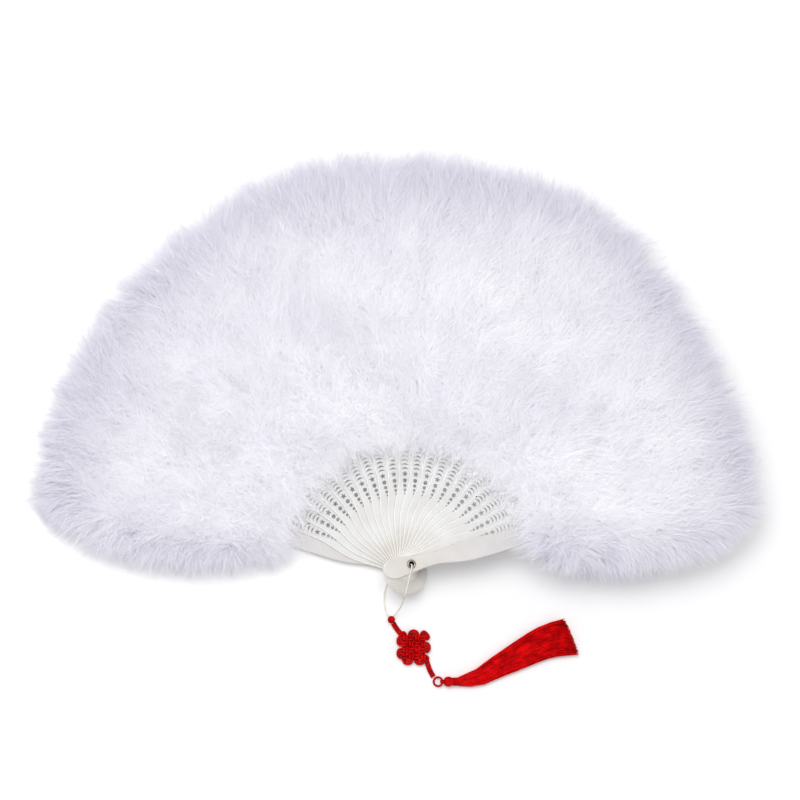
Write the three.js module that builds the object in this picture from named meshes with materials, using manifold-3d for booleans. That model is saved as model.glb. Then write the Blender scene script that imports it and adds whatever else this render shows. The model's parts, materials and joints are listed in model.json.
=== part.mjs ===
// A folding fan of white down lying open on a table. Pierced plastic sticks turn on one hollow eyelet,
// every stick carries a plume, a ribbon sets how far the sticks open, and a knotted tassel hangs on a
// cord loop through the eyelet. Millimetres, +Z up, z = 0 is the table, and the fan opens towards +Y.
import * as THREE from 'three';
import { mergeVertices } from 'three/addons/utils/BufferGeometryUtils.js';
import Module from 'manifold-3d';

// Stack of sticks: the rear guard lies lowest at the left, the front guard on top at the right
const STAVE_COUNT = 21;
const PITCH_DEG = 6.88;
const TABLE_CLEARANCE = 3.2;
const GUARD_THICKNESS = 2.0;
const STAVE_THICKNESS = 0.9;
const STACK_GAP = 0.2;

// Outline shared by all sticks, measured along the stick from the pivot
const TAIL_LENGTH = 18;
const TAIL_HALF_WIDTH = 6.5;
const TAIL_ROUND = 8;
const NECK_AT = 8;
const NECK_HALF_WIDTH = 5.2;
const TAIL_STEPS = 3;
const SIDE_STEPS = 8;

// Pierced blade and hidden tongue of a stave
const BELLY_AT = 31;
const BELLY_HALF_WIDTH = 7.1;
const WAIST_AT = 52;
const WAIST_HALF_WIDTH = 4.0;
const SHOULDER_AT = 76;
const SHOULDER_HALF_WIDTH = 4.3;
const SHOULDER_DROP = 4;
const TONGUE_HALF_WIDTH = 2.2;
const TONGUE_TIP_HALF_WIDTH = 1.6;
const STAVE_LENGTH = 175;

// Plain guard blade, slim beside the pivot and fuller further out
const GUARD_SLIM_AT = 14;
const GUARD_SLIM_HALF_WIDTH = 3.7;
const GUARD_BELLY_AT = 37;
const GUARD_BELLY_HALF_WIDTH = 6.4;
const GUARD_SHOULDER_HALF_WIDTH = 5.0;
const GUARD_TONGUE_HALF_WIDTH = 3.0;
const GUARD_TONGUE_TIP_HALF_WIDTH = 2.4;
const GUARD_EDGE_ROUND = 0.35;

// Piercing of a stave, from the pivot outwards: round holes that grow, a star, then arched slits
const ROUND_HOLE_COUNT = 4;
const FIRST_HOLE_AT = 44;
const FIRST_HOLE_RADIUS = 0.55;
const LAST_HOLE_RADIUS = 1.25;
const HOLE_WEB = 0.9;
const STAR_RADIUS = 1.9;
const STAR_WAIST_RADIUS = 0.85;
const STAR_POINTS = 5;
const SLIT_COUNT = 4;
const SLIT_SPACING = 2.5;
const SLIT_HALF_WIDTH = 2.1;
const SLIT_ARCH = 1.25;
const SLIT_OPENING = 0.85;
const ROUND_HOLE_SIDES = 6;

// Pivot eyelet, a metal tube rolled over at both ends
const EYELET_BORE_RADIUS = 1.5;
const EYELET_WALL = 0.4;
const EYELET_FLANGE_RADIUS = 2.8;
const EYELET_FLANGE = 0.6;
const PIVOT_CLEARANCE = 0.3;
const EYELET_SIDES = 12;

// Ribbon that joins the sticks just outside the blades
const RIBBON_WIDTH = 4;
const RIBBON_THICKNESS = 0.25;
const RIBBON_SEAT = 0.1;
const RIBBON_OVERHANG = 0.4;
const RIBBON_MARGIN = 1;

// Plumes of down: one sector for each stick, with a fuller lobe outside each guard
const PLUME_MARGIN = 1.5;
const PLUME_GAP = 0.3;
const PLUME_POCKET_CLEARANCE = 0.3;
const PLUME_REACH_MIDDLE = 244;
const PLUME_REACH_SIDE = 228;
const PLUME_BULGE = 10;
const PLUME_BULGE_AT = 0.7;
const PLUME_BULGE_SPREAD = 0.09;
const PLUME_CROWN = 18;
const PLUME_CROWN_HALF_SHARE = 0.55;
const PLUME_FLANK_SHARE = 0.8;
const PLUME_UNDERLAP = 1.4;
const PLUME_SPREAD = 22;
const PLUME_TIP_ROUND = 30;
const PLUME_TIP_LIFT = 2;
const LIP_REACH = 20;
const LIP_EDGE = 1.6;
const LIP_MARGIN = 1;
const LOBE_OFFSET = 41;
const LOBE_CENTRE = 152;
const LOBE_LEAST = 4;
const LOBE_OPENING = 0.35;
const LOBE_INNER_POWER = 2.4;
const LOBE_OUTER_POWER = 3;

// Cord loop through the eyelet and the tassel that lies in front of the fan
const LOOP_CORD_DIAMETER = 1.0;
const CORD_SIDES = 8;
const CORD_MEET_GAP = 0.3;
const BEAD_RADIUS = 2.3;
const RED_CORD_DIAMETER = 1.5;
const RED_CORD_WIDTH = 2.8;
const KNOT_CORD_DIAMETER = 1.7;
const KNOT_LINES = 4;
const KNOT_PITCH = 3.8;
const KNOT_EAR = 3.3;
const KNOT_TURN = 0.6;
const KNOT_CROSSING_GAP = 1.2;
const TASSEL_LOOP_RADIUS = 2.7;
const TASSEL_LOOP_CORD = 1.4;
const HEAD_RADIUS = 3.0;
const HEAD_LENGTH = 5.4;
const NECK_RADIUS = 2.2;
const NECK_LENGTH = 4.6;
const SKIRT_NECK_RADIUS = 2.7;
const SKIRT_END_HALF_WIDTH = 12.5;
const SKIRT_END_HALF_HEIGHT = 3.6;
const SKIRT_FLUTES = 8;
const SKIRT_FLUTE_DEPTH = 0.12;
const TABLE_GAP = 0.2;

const IVORY = new THREE.MeshStandardMaterial({ color: 0xf1efe9, roughness: 0.35, metalness: 0 });
const DOWN = new THREE.MeshStandardMaterial({ color: 0xf4f2fa, roughness: 0.95, metalness: 0 });
const NICKEL = new THREE.MeshStandardMaterial({ color: 0x77756f, roughness: 0.3, metalness: 1 });
const RIBBON_WHITE = new THREE.MeshStandardMaterial({ color: 0xf3f1f0, roughness: 0.6, metalness: 0 });
const LOOP_WHITE = new THREE.MeshStandardMaterial({ color: 0xf0ebe0, roughness: 0.7, metalness: 0 });
const SILK_RED = new THREE.MeshStandardMaterial({ color: 0xb4060c, roughness: 0.5, metalness: 0 });

const STICK_COUNT = STAVE_COUNT + 2;
const REAR = 0;
const FRONT = STICK_COUNT - 1;
const PITCH = THREE.MathUtils.degToRad(PITCH_DEG);
const TONGUE_FROM = SHOULDER_AT + SHOULDER_DROP;
const RIBBON_FROM = TONGUE_FROM + RIBBON_MARGIN;
const PLUME_FROM = RIBBON_FROM + RIBBON_WIDTH + PLUME_MARGIN;
const LIP_RISE = GUARD_THICKNESS + STACK_GAP + LIP_MARGIN;
const EYELET_RADIUS = EYELET_BORE_RADIUS + EYELET_WALL;

const isGuard = (index) => index === REAR || index === FRONT;
const stickThickness = (index) => (isGuard(index) ? GUARD_THICKNESS : STAVE_THICKNESS);
const stickAngle = (index) => Math.PI / 2 + (FRONT / 2 - index) * PITCH;

function stickBottom(index) {
  if (index === REAR) return TABLE_CLEARANCE;
  const firstStave = TABLE_CLEARANCE + GUARD_THICKNESS + STACK_GAP;
  return firstStave + (index - 1) * (STAVE_THICKNESS + STACK_GAP);
}

const stickTop = (index) => stickBottom(index) + stickThickness(index);

const wasm = await Module();
wasm.setup();

// Closed mesh to boolean solid and back
function toSolid(geometry) {
  const bare = geometry.clone();
  bare.deleteAttribute('normal');
  bare.deleteAttribute('uv');
  const merged = mergeVertices(bare, 1e-5);
  const mesh = new wasm.Mesh({
    numProp: 3,
    vertProperties: new Float32Array(merged.attributes.position.array),
    triVerts: new Uint32Array(merged.index.array),
  });
  return new wasm.Manifold(mesh);
}

function toGeometry(solid) {
  const mesh = solid.getMesh();
  const geometry = new THREE.BufferGeometry();
  geometry.setAttribute('position', new THREE.BufferAttribute(new Float32Array(mesh.vertProperties), 3));
  geometry.setIndex(new THREE.BufferAttribute(new Uint32Array(mesh.triVerts), 1));
  geometry.computeVertexNormals();
  return geometry;
}

// Skin over a row of sections with equally many points, each running anticlockwise seen from the far end
function loft(sections) {
  const count = sections[0].length;
  const vertices = sections.flat().flatMap((point) => [point.x, point.y, point.z]);
  const triangles = [];
  for (let row = 0; row + 1 < sections.length; row += 1) {
    for (let k = 0; k < count; k += 1) {
      const here = row * count + k;
      const beside = row * count + ((k + 1) % count);
      triangles.push(here, beside, beside + count, here, beside + count, here + count);
    }
  }
  const last = (sections.length - 1) * count;
  for (let k = 1; k + 1 < count; k += 1) {
    triangles.push(0, k + 1, k, last, last + k, last + k + 1);
  }
  const geometry = new THREE.BufferGeometry();
  geometry.setAttribute('position', new THREE.Float32BufferAttribute(vertices, 3));
  geometry.setIndex(triangles);
  geometry.computeVertexNormals();
  return geometry;
}

function polygon(count, radiusAt, centre = 0) {
  const points = [];
  for (let k = 0; k < count; k += 1) {
    const turn = (k * 2 * Math.PI) / count;
    points.push(new THREE.Vector2(centre + radiusAt(k) * Math.cos(turn), radiusAt(k) * Math.sin(turn)));
  }
  return points;
}

// Half outline from the tail's end to the tongue's tip, mirrored across the stick's axis
function stickShape(blade, tongueHalfWidth, tipHalfWidth) {
  const roundAt = TAIL_ROUND - TAIL_LENGTH;
  const tail = new THREE.EllipseCurve(roundAt, 0, TAIL_ROUND, TAIL_HALF_WIDTH, Math.PI, Math.PI / 2, true);
  const knots = [[roundAt, TAIL_HALF_WIDTH], ...blade];
  const side = new THREE.SplineCurve(knots.map(([along, across]) => new THREE.Vector2(along, across)));
  const upper = [
    ...tail.getPoints(TAIL_STEPS),
    ...side.getPoints(SIDE_STEPS).slice(1),
    new THREE.Vector2(TONGUE_FROM, tongueHalfWidth),
    new THREE.Vector2(STAVE_LENGTH, tipHalfWidth),
  ];
  const lower = upper.slice(1).reverse().map((point) => new THREE.Vector2(point.x, -point.y));
  const shape = new THREE.Shape([...upper, ...lower]);
  const pivotRadius = (EYELET_RADIUS + PIVOT_CLEARANCE) / Math.cos(Math.PI / EYELET_SIDES);
  shape.holes.push(new THREE.Path(polygon(EYELET_SIDES, () => pivotRadius)));
  return shape;
}

// Arched slit: a crescent that bows away from the pivot
function slitPath(at) {
  const outer = [-1, -0.45, 0.45, 1];
  const inner = [0];
  const arch = (share) => at + SLIT_ARCH * (1 - share * share);
  const points = outer.map((share) => new THREE.Vector2(arch(share), share * SLIT_HALF_WIDTH));
  inner.forEach((share) => {
    points.push(new THREE.Vector2(arch(share) - SLIT_OPENING, share * SLIT_HALF_WIDTH));
  });
  return new THREE.Path(points);
}

function pierce(shape) {
  let at = FIRST_HOLE_AT;
  let radius = FIRST_HOLE_RADIUS;
  const growth = (LAST_HOLE_RADIUS - FIRST_HOLE_RADIUS) / (ROUND_HOLE_COUNT - 1);
  for (let k = 0; k < ROUND_HOLE_COUNT; k += 1) {
    const size = radius;
    shape.holes.push(new THREE.Path(polygon(ROUND_HOLE_SIDES, () => size, at)));
    const next = k + 1 < ROUND_HOLE_COUNT ? radius + growth : STAR_RADIUS;
    at += radius + HOLE_WEB + next;
    radius = next;
  }
  const star = (k) => (k % 2 === 0 ? STAR_RADIUS : STAR_WAIST_RADIUS);
  shape.holes.push(new THREE.Path(polygon(2 * STAR_POINTS, star, at)));
  const firstSlit = at + STAR_RADIUS + HOLE_WEB;
  for (let k = 0; k < SLIT_COUNT; k += 1) {
    shape.holes.push(slitPath(firstSlit + k * SLIT_SPACING));
  }
}

function staveGeometry() {
  const blade = [
    [NECK_AT, NECK_HALF_WIDTH],
    [BELLY_AT, BELLY_HALF_WIDTH],
    [WAIST_AT, WAIST_HALF_WIDTH],
    [SHOULDER_AT, SHOULDER_HALF_WIDTH],
  ];
  const shape = stickShape(blade, TONGUE_HALF_WIDTH, TONGUE_TIP_HALF_WIDTH);
  pierce(shape);
  return new THREE.ExtrudeGeometry(shape, { depth: STAVE_THICKNESS, bevelEnabled: false });
}

function guardGeometry() {
  const blade = [
    [GUARD_SLIM_AT, GUARD_SLIM_HALF_WIDTH],
    [GUARD_BELLY_AT, GUARD_BELLY_HALF_WIDTH],
    [SHOULDER_AT, GUARD_SHOULDER_HALF_WIDTH],
  ];
  const shape = stickShape(blade, GUARD_TONGUE_HALF_WIDTH, GUARD_TONGUE_TIP_HALF_WIDTH);
  const geometry = new THREE.ExtrudeGeometry(shape, {
    depth: GUARD_THICKNESS - 2 * GUARD_EDGE_ROUND,
    bevelThickness: GUARD_EDGE_ROUND,
    bevelSize: GUARD_EDGE_ROUND,
    bevelOffset: -GUARD_EDGE_ROUND,
    bevelSegments: 1,
  });
  return geometry.translate(0, 0, GUARD_EDGE_ROUND);
}

// Tube with rolled ends: from the bore's foot round the lower flange, up the outside and back in
function eyeletGeometry() {
  const foot = stickBottom(REAR) - STACK_GAP - EYELET_FLANGE;
  const head = stickTop(FRONT) + STACK_GAP + EYELET_FLANGE;
  const roll = EYELET_FLANGE / 2;
  const profile = [
    [EYELET_BORE_RADIUS, foot + roll],
    [EYELET_BORE_RADIUS + roll, foot],
    [EYELET_FLANGE_RADIUS - roll, foot],
    [EYELET_FLANGE_RADIUS, foot + roll],
    [EYELET_FLANGE_RADIUS, foot + EYELET_FLANGE],
    [EYELET_RADIUS, foot + EYELET_FLANGE],
    [EYELET_RADIUS, head - EYELET_FLANGE],
    [EYELET_FLANGE_RADIUS, head - EYELET_FLANGE],
    [EYELET_FLANGE_RADIUS, head - roll],
    [EYELET_FLANGE_RADIUS - roll, head],
    [EYELET_BORE_RADIUS + roll, head],
    [EYELET_BORE_RADIUS, head - roll],
    [EYELET_BORE_RADIUS, foot + roll],
  ].map(([radius, height]) => new THREE.Vector2(radius, height));
  return new THREE.LatheGeometry(profile, EYELET_SIDES).rotateX(Math.PI / 2);
}

const tongueHalfWidth = (index) => (isGuard(index) ? GUARD_TONGUE_HALF_WIDTH : TONGUE_HALF_WIDTH);

// Flat strip laid on every stick's tongue and lifted from each stick to the next
function ribbonGeometry() {
  const sections = [];
  for (let index = REAR; index <= FRONT; index += 1) {
    const low = stickTop(index) + RIBBON_SEAT;
    const along = new THREE.Vector3(Math.cos(stickAngle(index)), Math.sin(stickAngle(index)), 0);
    const across = new THREE.Vector3(-along.y, along.x, 0);
    [1, -1].forEach((side) => {
      const corner = (reach, height) =>
        along
          .clone()
          .multiplyScalar(reach)
          .addScaledVector(across, side * (tongueHalfWidth(index) + RIBBON_OVERHANG))
          .setZ(height);
      sections.push([
        corner(RIBBON_FROM, low),
        corner(RIBBON_FROM + RIBBON_WIDTH, low),
        corner(RIBBON_FROM + RIBBON_WIDTH, low + RIBBON_THICKNESS),
        corner(RIBBON_FROM, low + RIBBON_THICKNESS),
      ]);
    });
  }
  return loft(sections);
}

// How far a stick's plume reaches: longest in the middle of the fan, with a fuller place right of it
function plumeReach(index) {
  const fromMiddle = Math.abs(index - FRONT / 2) / (FRONT / 2);
  const fromBulge = (index / FRONT - PLUME_BULGE_AT) / PLUME_BULGE_SPREAD;
  const bulge = PLUME_BULGE * Math.exp(-(fromBulge ** 2));
  return PLUME_REACH_MIDDLE - (PLUME_REACH_MIDDLE - PLUME_REACH_SIDE) * fromMiddle ** 2 + bulge;
}

const sectorHalfWidth = (along) => along * Math.tan(PITCH / 2) - PLUME_GAP / 2 / Math.cos(PITCH / 2);

// Outer edge of a guard's plume: a rounded lobe, blunter towards the rim of the fan
function lobeHalfWidth(along, reach) {
  const beyond = along > LOBE_CENTRE;
  const share = beyond ? (along - LOBE_CENTRE) / (reach - LOBE_CENTRE) : (LOBE_CENTRE - along) / LOBE_CENTRE;
  const power = beyond ? LOBE_OUTER_POWER : LOBE_INNER_POWER;
  const swell = LOBE_OFFSET * Math.max(0, 1 - share ** power) ** (1 / power);
  const inner = (along - PLUME_FROM + LIP_REACH) / (LOBE_CENTRE - PLUME_FROM + LIP_REACH);
  return Math.max(LOBE_LEAST, swell * Math.min(1, inner ** LOBE_OPENING));
}

// Rows along a plume: [distance from the pivot, underside, share of the crown, share of the full width]
function plumeRows(index) {
  const reach = plumeReach(index);
  const lip = stickTop(index) + LIP_RISE;
  const mouth = stickBottom(index) - PLUME_UNDERLAP;
  const swollen = PLUME_FROM + PLUME_SPREAD;
  const middle = (swollen + reach) / 2;
  const rounding = reach - PLUME_TIP_ROUND;
  const rows = [
    [PLUME_FROM - LIP_REACH, lip, (LIP_RISE + LIP_EDGE) / PLUME_CROWN, 0.8],
    [PLUME_FROM - PLUME_GAP, lip, 0.6, 1],
    [PLUME_FROM, mouth, 0.6, 1],
    [swollen, 0, 0.9, 1],
    [middle, 0, 1, 1],
    [rounding, 0, 0.8, 1],
    [reach - PLUME_TIP_ROUND / 4, PLUME_TIP_LIFT, 0.45, 0.96],
    [reach, stickBottom(index) / 2 + PLUME_TIP_LIFT, 0.15, 0.72],
  ];
  if (isGuard(index)) {
    rows.splice(4, 0, [(swollen + middle) / 2, 0, 0.97, 1]);
    rows.splice(6, 0, [(middle + rounding) / 2, 0, 0.93, 1]);
  }
  return rows;
}

// Flat underside, upright flanks against the neighbours and a crown, with a pocket for the tongue
function plumeGeometry(index) {
  const reach = plumeReach(index);
  const sections = plumeRows(index).map(([along, underside, crownShare, widthShare]) => {
    const sector = widthShare * sectorHalfWidth(along);
    const lobe = widthShare * lobeHalfWidth(along, reach);
    const crown = stickTop(index) + crownShare * PLUME_CROWN;
    const left = index === REAR ? Math.max(sector, lobe) : sector;
    const right = index === FRONT ? Math.max(sector, lobe) : sector;
    const shoulder = underside + PLUME_FLANK_SHARE * (crown - underside);
    const outline = [
      [right, underside],
      [-left, underside],
      [-left, shoulder],
      [-PLUME_CROWN_HALF_SHARE * left, crown],
      [PLUME_CROWN_HALF_SHARE * right, crown],
      [right, shoulder],
    ];
    return outline.map(([across, height]) => new THREE.Vector3(along, -across, height));
  });
  const clear = PLUME_POCKET_CLEARANCE;
  const wide = tongueHalfWidth(index) + clear;
  const narrow = (isGuard(index) ? GUARD_TONGUE_TIP_HALF_WIDTH : TONGUE_TIP_HALF_WIDTH) + clear;
  const mouth = PLUME_FROM - PLUME_MARGIN / 2;
  const end = STAVE_LENGTH + clear;
  const slot = new THREE.Shape([
    new THREE.Vector2(mouth, -wide),
    new THREE.Vector2(end, -narrow),
    new THREE.Vector2(end, narrow),
    new THREE.Vector2(mouth, wide),
  ]);
  const pocket = new THREE.ExtrudeGeometry(slot, {
    depth: stickThickness(index) + 2 * clear,
    bevelEnabled: false,
  });
  pocket.translate(0, 0, stickBottom(index) - clear);
  return toGeometry(toSolid(loft(sections)).subtract(toSolid(pocket)));
}

// Tube of an oval section along a route of points
function cordGeometry(points, width, height, steps, sides = CORD_SIDES) {
  const section = [];
  for (let k = 0; k < sides; k += 1) {
    const turn = (k * 2 * Math.PI) / sides;
    section.push(new THREE.Vector2((height / 2) * Math.cos(turn), (width / 2) * Math.sin(turn)));
  }
  const path = new THREE.CatmullRomCurve3(points, false, 'centripetal');
  const options = { extrudePath: path, steps, bevelEnabled: false };
  return new THREE.ExtrudeGeometry(new THREE.Shape(section), options);
}

// Route of the cord loop from the bead over the front guard, down the eyelet and back under the rear guard
const STACK_TOP = stickTop(FRONT);
const EYELET_HEAD = STACK_TOP + STACK_GAP + EYELET_FLANGE;
const LOOP_REST = TABLE_GAP + LOOP_CORD_DIAMETER / 2;
const LOOP_OVER = EYELET_HEAD + CORD_MEET_GAP + LOOP_CORD_DIAMETER / 2;
const TAIL_EDGE = -TAIL_LENGTH - CORD_MEET_GAP - LOOP_CORD_DIAMETER / 2;
const BEAD_AT = new THREE.Vector3(-4.8, -32.2, TABLE_GAP + BEAD_RADIUS);
const LOOP_ROUTE = [
  new THREE.Vector3(-3.6, -29.9, 2.9),
  new THREE.Vector3(-2.2, -27.8, 5.2),
  new THREE.Vector3(-1.3, -25.2, 10),
  new THREE.Vector3(-1.8, -22.4, 17.5),
  new THREE.Vector3(-3.4, TAIL_EDGE - 0.8, STACK_TOP - 4),
  new THREE.Vector3(-4.05, TAIL_EDGE + 0.35, STACK_TOP + 0.7),
  new THREE.Vector3(-3.3, TAIL_EDGE + 3.7, STACK_TOP + 1.3),
  new THREE.Vector3(-1.9, -9, LOOP_OVER - 0.2),
  new THREE.Vector3(-0.8, -4, LOOP_OVER + 0.1),
  new THREE.Vector3(-0.3, -2, LOOP_OVER + 0.3),
  new THREE.Vector3(0, -0.6, LOOP_OVER - 0.6),
  new THREE.Vector3(0, 0, EYELET_HEAD - 3),
  new THREE.Vector3(0, 0, STACK_TOP / 2),
  new THREE.Vector3(-0.1, -0.1, 6),
  new THREE.Vector3(-0.5, -0.8, 2.2),
  new THREE.Vector3(-1.9, -2.8, LOOP_REST + 0.4),
  new THREE.Vector3(-5, -7.4, LOOP_REST),
  new THREE.Vector3(-7.6, -12, LOOP_REST),
  new THREE.Vector3(-8.7, -18, LOOP_REST),
  new THREE.Vector3(-8.6, -24.5, LOOP_REST + 0.2),
  new THREE.Vector3(-7.6, -28.6, 1.4),
  new THREE.Vector3(-6.3, -30.2, 1.8),
];
const LOOP_STEPS = 44;

// Route of the red cords between the bead, the knot and the tassel
const RED_CORD_REST = TABLE_GAP + RED_CORD_DIAMETER / 2;
const KNOT_SPAN = (KNOT_LINES - 1) * KNOT_PITCH;
const KNOT_CENTRE = new THREE.Vector2(9.3, -49);
const UPPER_CORD_ROUTE = [
  new THREE.Vector3(-3.4, -34.5, 2),
  new THREE.Vector3(-2.1, -36.3, RED_CORD_REST + 0.3),
  new THREE.Vector3(-0.3, -38.6, RED_CORD_REST + 0.3),
  new THREE.Vector3(1.6, -40.8, RED_CORD_REST + 0.5),
];
const LOWER_CORD_ROUTE = [
  new THREE.Vector3(17.5, -56.6, RED_CORD_REST + 1.4),
  new THREE.Vector3(18.7, -59.8, RED_CORD_REST + 0.6),
  new THREE.Vector3(20.4, -63.6, RED_CORD_REST),
  new THREE.Vector3(22.3, -66.8, RED_CORD_REST),
];
const RED_CORD_STEPS = 6;
const TASSEL_LOOP_TILT = Math.asin((HEAD_RADIUS - TASSEL_LOOP_CORD / 2) / (2 * TASSEL_LOOP_RADIUS));
const TASSEL_LOOP_AT = new THREE.Vector3(24.9, -69.8, TABLE_GAP + (HEAD_RADIUS + TASSEL_LOOP_CORD / 2) / 2);
const TASSEL_LOOP_REACH = TASSEL_LOOP_RADIUS * Math.cos(TASSEL_LOOP_TILT) + TASSEL_LOOP_CORD / 2;
const HEAD_AT = new THREE.Vector3(
  TASSEL_LOOP_AT.x + TASSEL_LOOP_REACH + CORD_MEET_GAP,
  TASSEL_LOOP_AT.y,
  TABLE_GAP + HEAD_RADIUS,
);

// Woven square: one cord runs up and down, then side to side, over and under in turn
function knotRoute() {
  const rise = (KNOT_CORD_DIAMETER + KNOT_CROSSING_GAP) / 2;
  const middle = TABLE_GAP + KNOT_CORD_DIAMETER / 2 + rise;
  const last = KNOT_LINES - 1;
  const place = (line) => line * KNOT_PITCH - KNOT_SPAN / 2;
  const edge = KNOT_SPAN / 2 + KNOT_EAR;
  const points = [];
  const add = (across, down, lift) => {
    points.push(new THREE.Vector3(KNOT_CENTRE.x + across, KNOT_CENTRE.y - down, middle + lift));
  };
  const serpentine = (put) => {
    for (let line = 0; line <= last; line += 1) {
      const forward = line % 2 === 0;
      for (let step = 0; step <= last; step += 1) {
        const crossing = forward ? step : last - step;
        put(place(line), place(crossing), (line + crossing) % 2 === 0 ? rise : -rise);
      }
      const ear = line < last ? [0.12, 0.88] : [];
      ear.forEach((share) => put(place(line + share), forward ? edge : -edge, 0));
    }
  };
  add(place(0) - KNOT_TURN, -edge + KNOT_TURN, 0);
  serpentine((across, down, lift) => add(across, down, lift));
  add(place(last) + KNOT_TURN, -edge, 0);
  add(edge, place(0) - KNOT_TURN, 0);
  const otherFace = KNOT_LINES % 2 === 0 ? 1 : -1;
  serpentine((down, across, lift) => add(-across, down, otherFace * lift));
  add(edge - KNOT_TURN, place(last) + KNOT_TURN, 0);
  return points;
}

// Least free space between two stretches of a cord that are not neighbours along it
function leastGap(points, diameter) {
  const path = new THREE.CatmullRomCurve3(points, false, 'centripetal');
  const spots = path.getSpacedPoints(12 * points.length);
  const apart = Math.ceil((3 * diameter) / (path.getLength() / spots.length));
  let least = Infinity;
  for (let a = 0; a < spots.length; a += 1) {
    for (let b = a + apart; b < spots.length; b += 1) least = Math.min(least, spots[a].distanceTo(spots[b]));
  }
  return least - diameter;
}

// Head and bound neck of the tassel, turned about its own axis and laid along +X
function headGeometry() {
  const profile = [
    [0, 0],
    [0.6 * HEAD_RADIUS, 0.05 * HEAD_LENGTH],
    [0.95 * HEAD_RADIUS, 0.3 * HEAD_LENGTH],
    [HEAD_RADIUS, 0.6 * HEAD_LENGTH],
    [0.85 * HEAD_RADIUS, 0.92 * HEAD_LENGTH],
    [NECK_RADIUS, HEAD_LENGTH],
    [NECK_RADIUS, HEAD_LENGTH + NECK_LENGTH],
    [0, HEAD_LENGTH + NECK_LENGTH],
  ].map(([radius, along]) => new THREE.Vector2(radius, along));
  return new THREE.LatheGeometry(profile, 12).rotateZ(-Math.PI / 2);
}

// Fluted sheaf of threads that widens and flattens along its route on the table
const SKIRT_ROUTE = [
  new THREE.Vector2(HEAD_AT.x + HEAD_LENGTH + NECK_LENGTH + CORD_MEET_GAP, HEAD_AT.y),
  new THREE.Vector2(50.5, -69),
  new THREE.Vector2(61, -64.3),
  new THREE.Vector2(72, -57.6),
  new THREE.Vector2(82, -51.4),
  new THREE.Vector2(91.5, -46.8),
  new THREE.Vector2(101, -43.8),
  new THREE.Vector2(108.5, -42.2),
];
const SKIRT_ROWS = 9;

function skirtGeometry() {
  const route = new THREE.SplineCurve(SKIRT_ROUTE);
  const sections = [];
  for (let row = 0; row <= SKIRT_ROWS; row += 1) {
    const share = row / SKIRT_ROWS;
    const point = route.getPointAt(share);
    const ahead = route.getTangentAt(share);
    const width = THREE.MathUtils.lerp(SKIRT_NECK_RADIUS, SKIRT_END_HALF_WIDTH, share ** 1.5);
    const height = THREE.MathUtils.lerp(SKIRT_NECK_RADIUS, SKIRT_END_HALF_HEIGHT, share);
    const depth = SKIRT_FLUTE_DEPTH * Math.min(1, 3 * share);
    const ring = [];
    for (let k = 0; k < 2 * SKIRT_FLUTES; k += 1) {
      const turn = (k * Math.PI) / SKIRT_FLUTES;
      const swell = k % 2 === 0 ? 1 : 1 - depth;
      const side = width * swell * Math.cos(turn);
      const up = height * swell * Math.sin(turn);
      const lifted = TABLE_GAP + height + up;
      ring.push(new THREE.Vector3(point.x - ahead.y * side, point.y + ahead.x * side, lifted));
    }
    sections.push(ring);
  }
  return loft(sections);
}

function named(name, geometry, material) {
  const mesh = new THREE.Mesh(geometry, material);
  mesh.name = name;
  return mesh;
}

// Stick with its plume, turned to its place in the fan
function stickGroup(index) {
  const group = new THREE.Group();
  const number = String(index).padStart(2, '0');
  let stickName = `stave_${number}`;
  let plumeName = `plume_${number}`;
  if (index === REAR) [stickName, plumeName] = ['rear_guard', 'rear_guard_plume'];
  if (index === FRONT) [stickName, plumeName] = ['front_guard', 'front_guard_plume'];
  const stick = named(stickName, isGuard(index) ? guardGeometry() : staveGeometry(), IVORY);
  stick.position.z = stickBottom(index);
  group.add(stick, named(plumeName, plumeGeometry(index), DOWN));
  group.rotation.z = stickAngle(index);
  return group;
}

function fanGroup() {
  const group = new THREE.Group();
  for (let index = REAR; index <= FRONT; index += 1) group.add(stickGroup(index));
  group.add(named('pivot_eyelet', eyeletGeometry(), NICKEL));
  group.add(named('spacing_ribbon', ribbonGeometry(), RIBBON_WHITE));
  return group;
}

function tasselGroup() {
  const group = new THREE.Group();
  const loop = cordGeometry(LOOP_ROUTE, LOOP_CORD_DIAMETER, LOOP_CORD_DIAMETER, LOOP_STEPS);
  group.add(named('hanging_loop', loop, LOOP_WHITE));
  const bead = named('tassel_bead', new THREE.SphereGeometry(BEAD_RADIUS, 10, 7), SILK_RED);
  bead.position.copy(BEAD_AT);
  group.add(bead);
  const red = (route) => cordGeometry(route, RED_CORD_WIDTH, RED_CORD_DIAMETER, RED_CORD_STEPS);
  group.add(named('upper_red_cord', red(UPPER_CORD_ROUTE), SILK_RED));
  const route = knotRoute();
  console.log(`endless_knot least gap ${leastGap(route, KNOT_CORD_DIAMETER).toFixed(2)} mm`);
  const knot = cordGeometry(route, KNOT_CORD_DIAMETER, KNOT_CORD_DIAMETER, 2 * route.length, 5);
  group.add(named('endless_knot', knot, SILK_RED));
  group.add(named('lower_red_cord', red(LOWER_CORD_ROUTE), SILK_RED));
  const tasselLoop = new THREE.TorusGeometry(TASSEL_LOOP_RADIUS, TASSEL_LOOP_CORD / 2, 6, 14);
  const loopMesh = named('tassel_loop', tasselLoop, SILK_RED);
  loopMesh.position.copy(TASSEL_LOOP_AT);
  loopMesh.rotation.y = -TASSEL_LOOP_TILT;
  group.add(loopMesh);
  const head = named('tassel_head', headGeometry(), SILK_RED);
  head.position.copy(HEAD_AT);
  group.add(head, named('tassel_skirt', skirtGeometry(), SILK_RED));
  return group;
}

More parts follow.
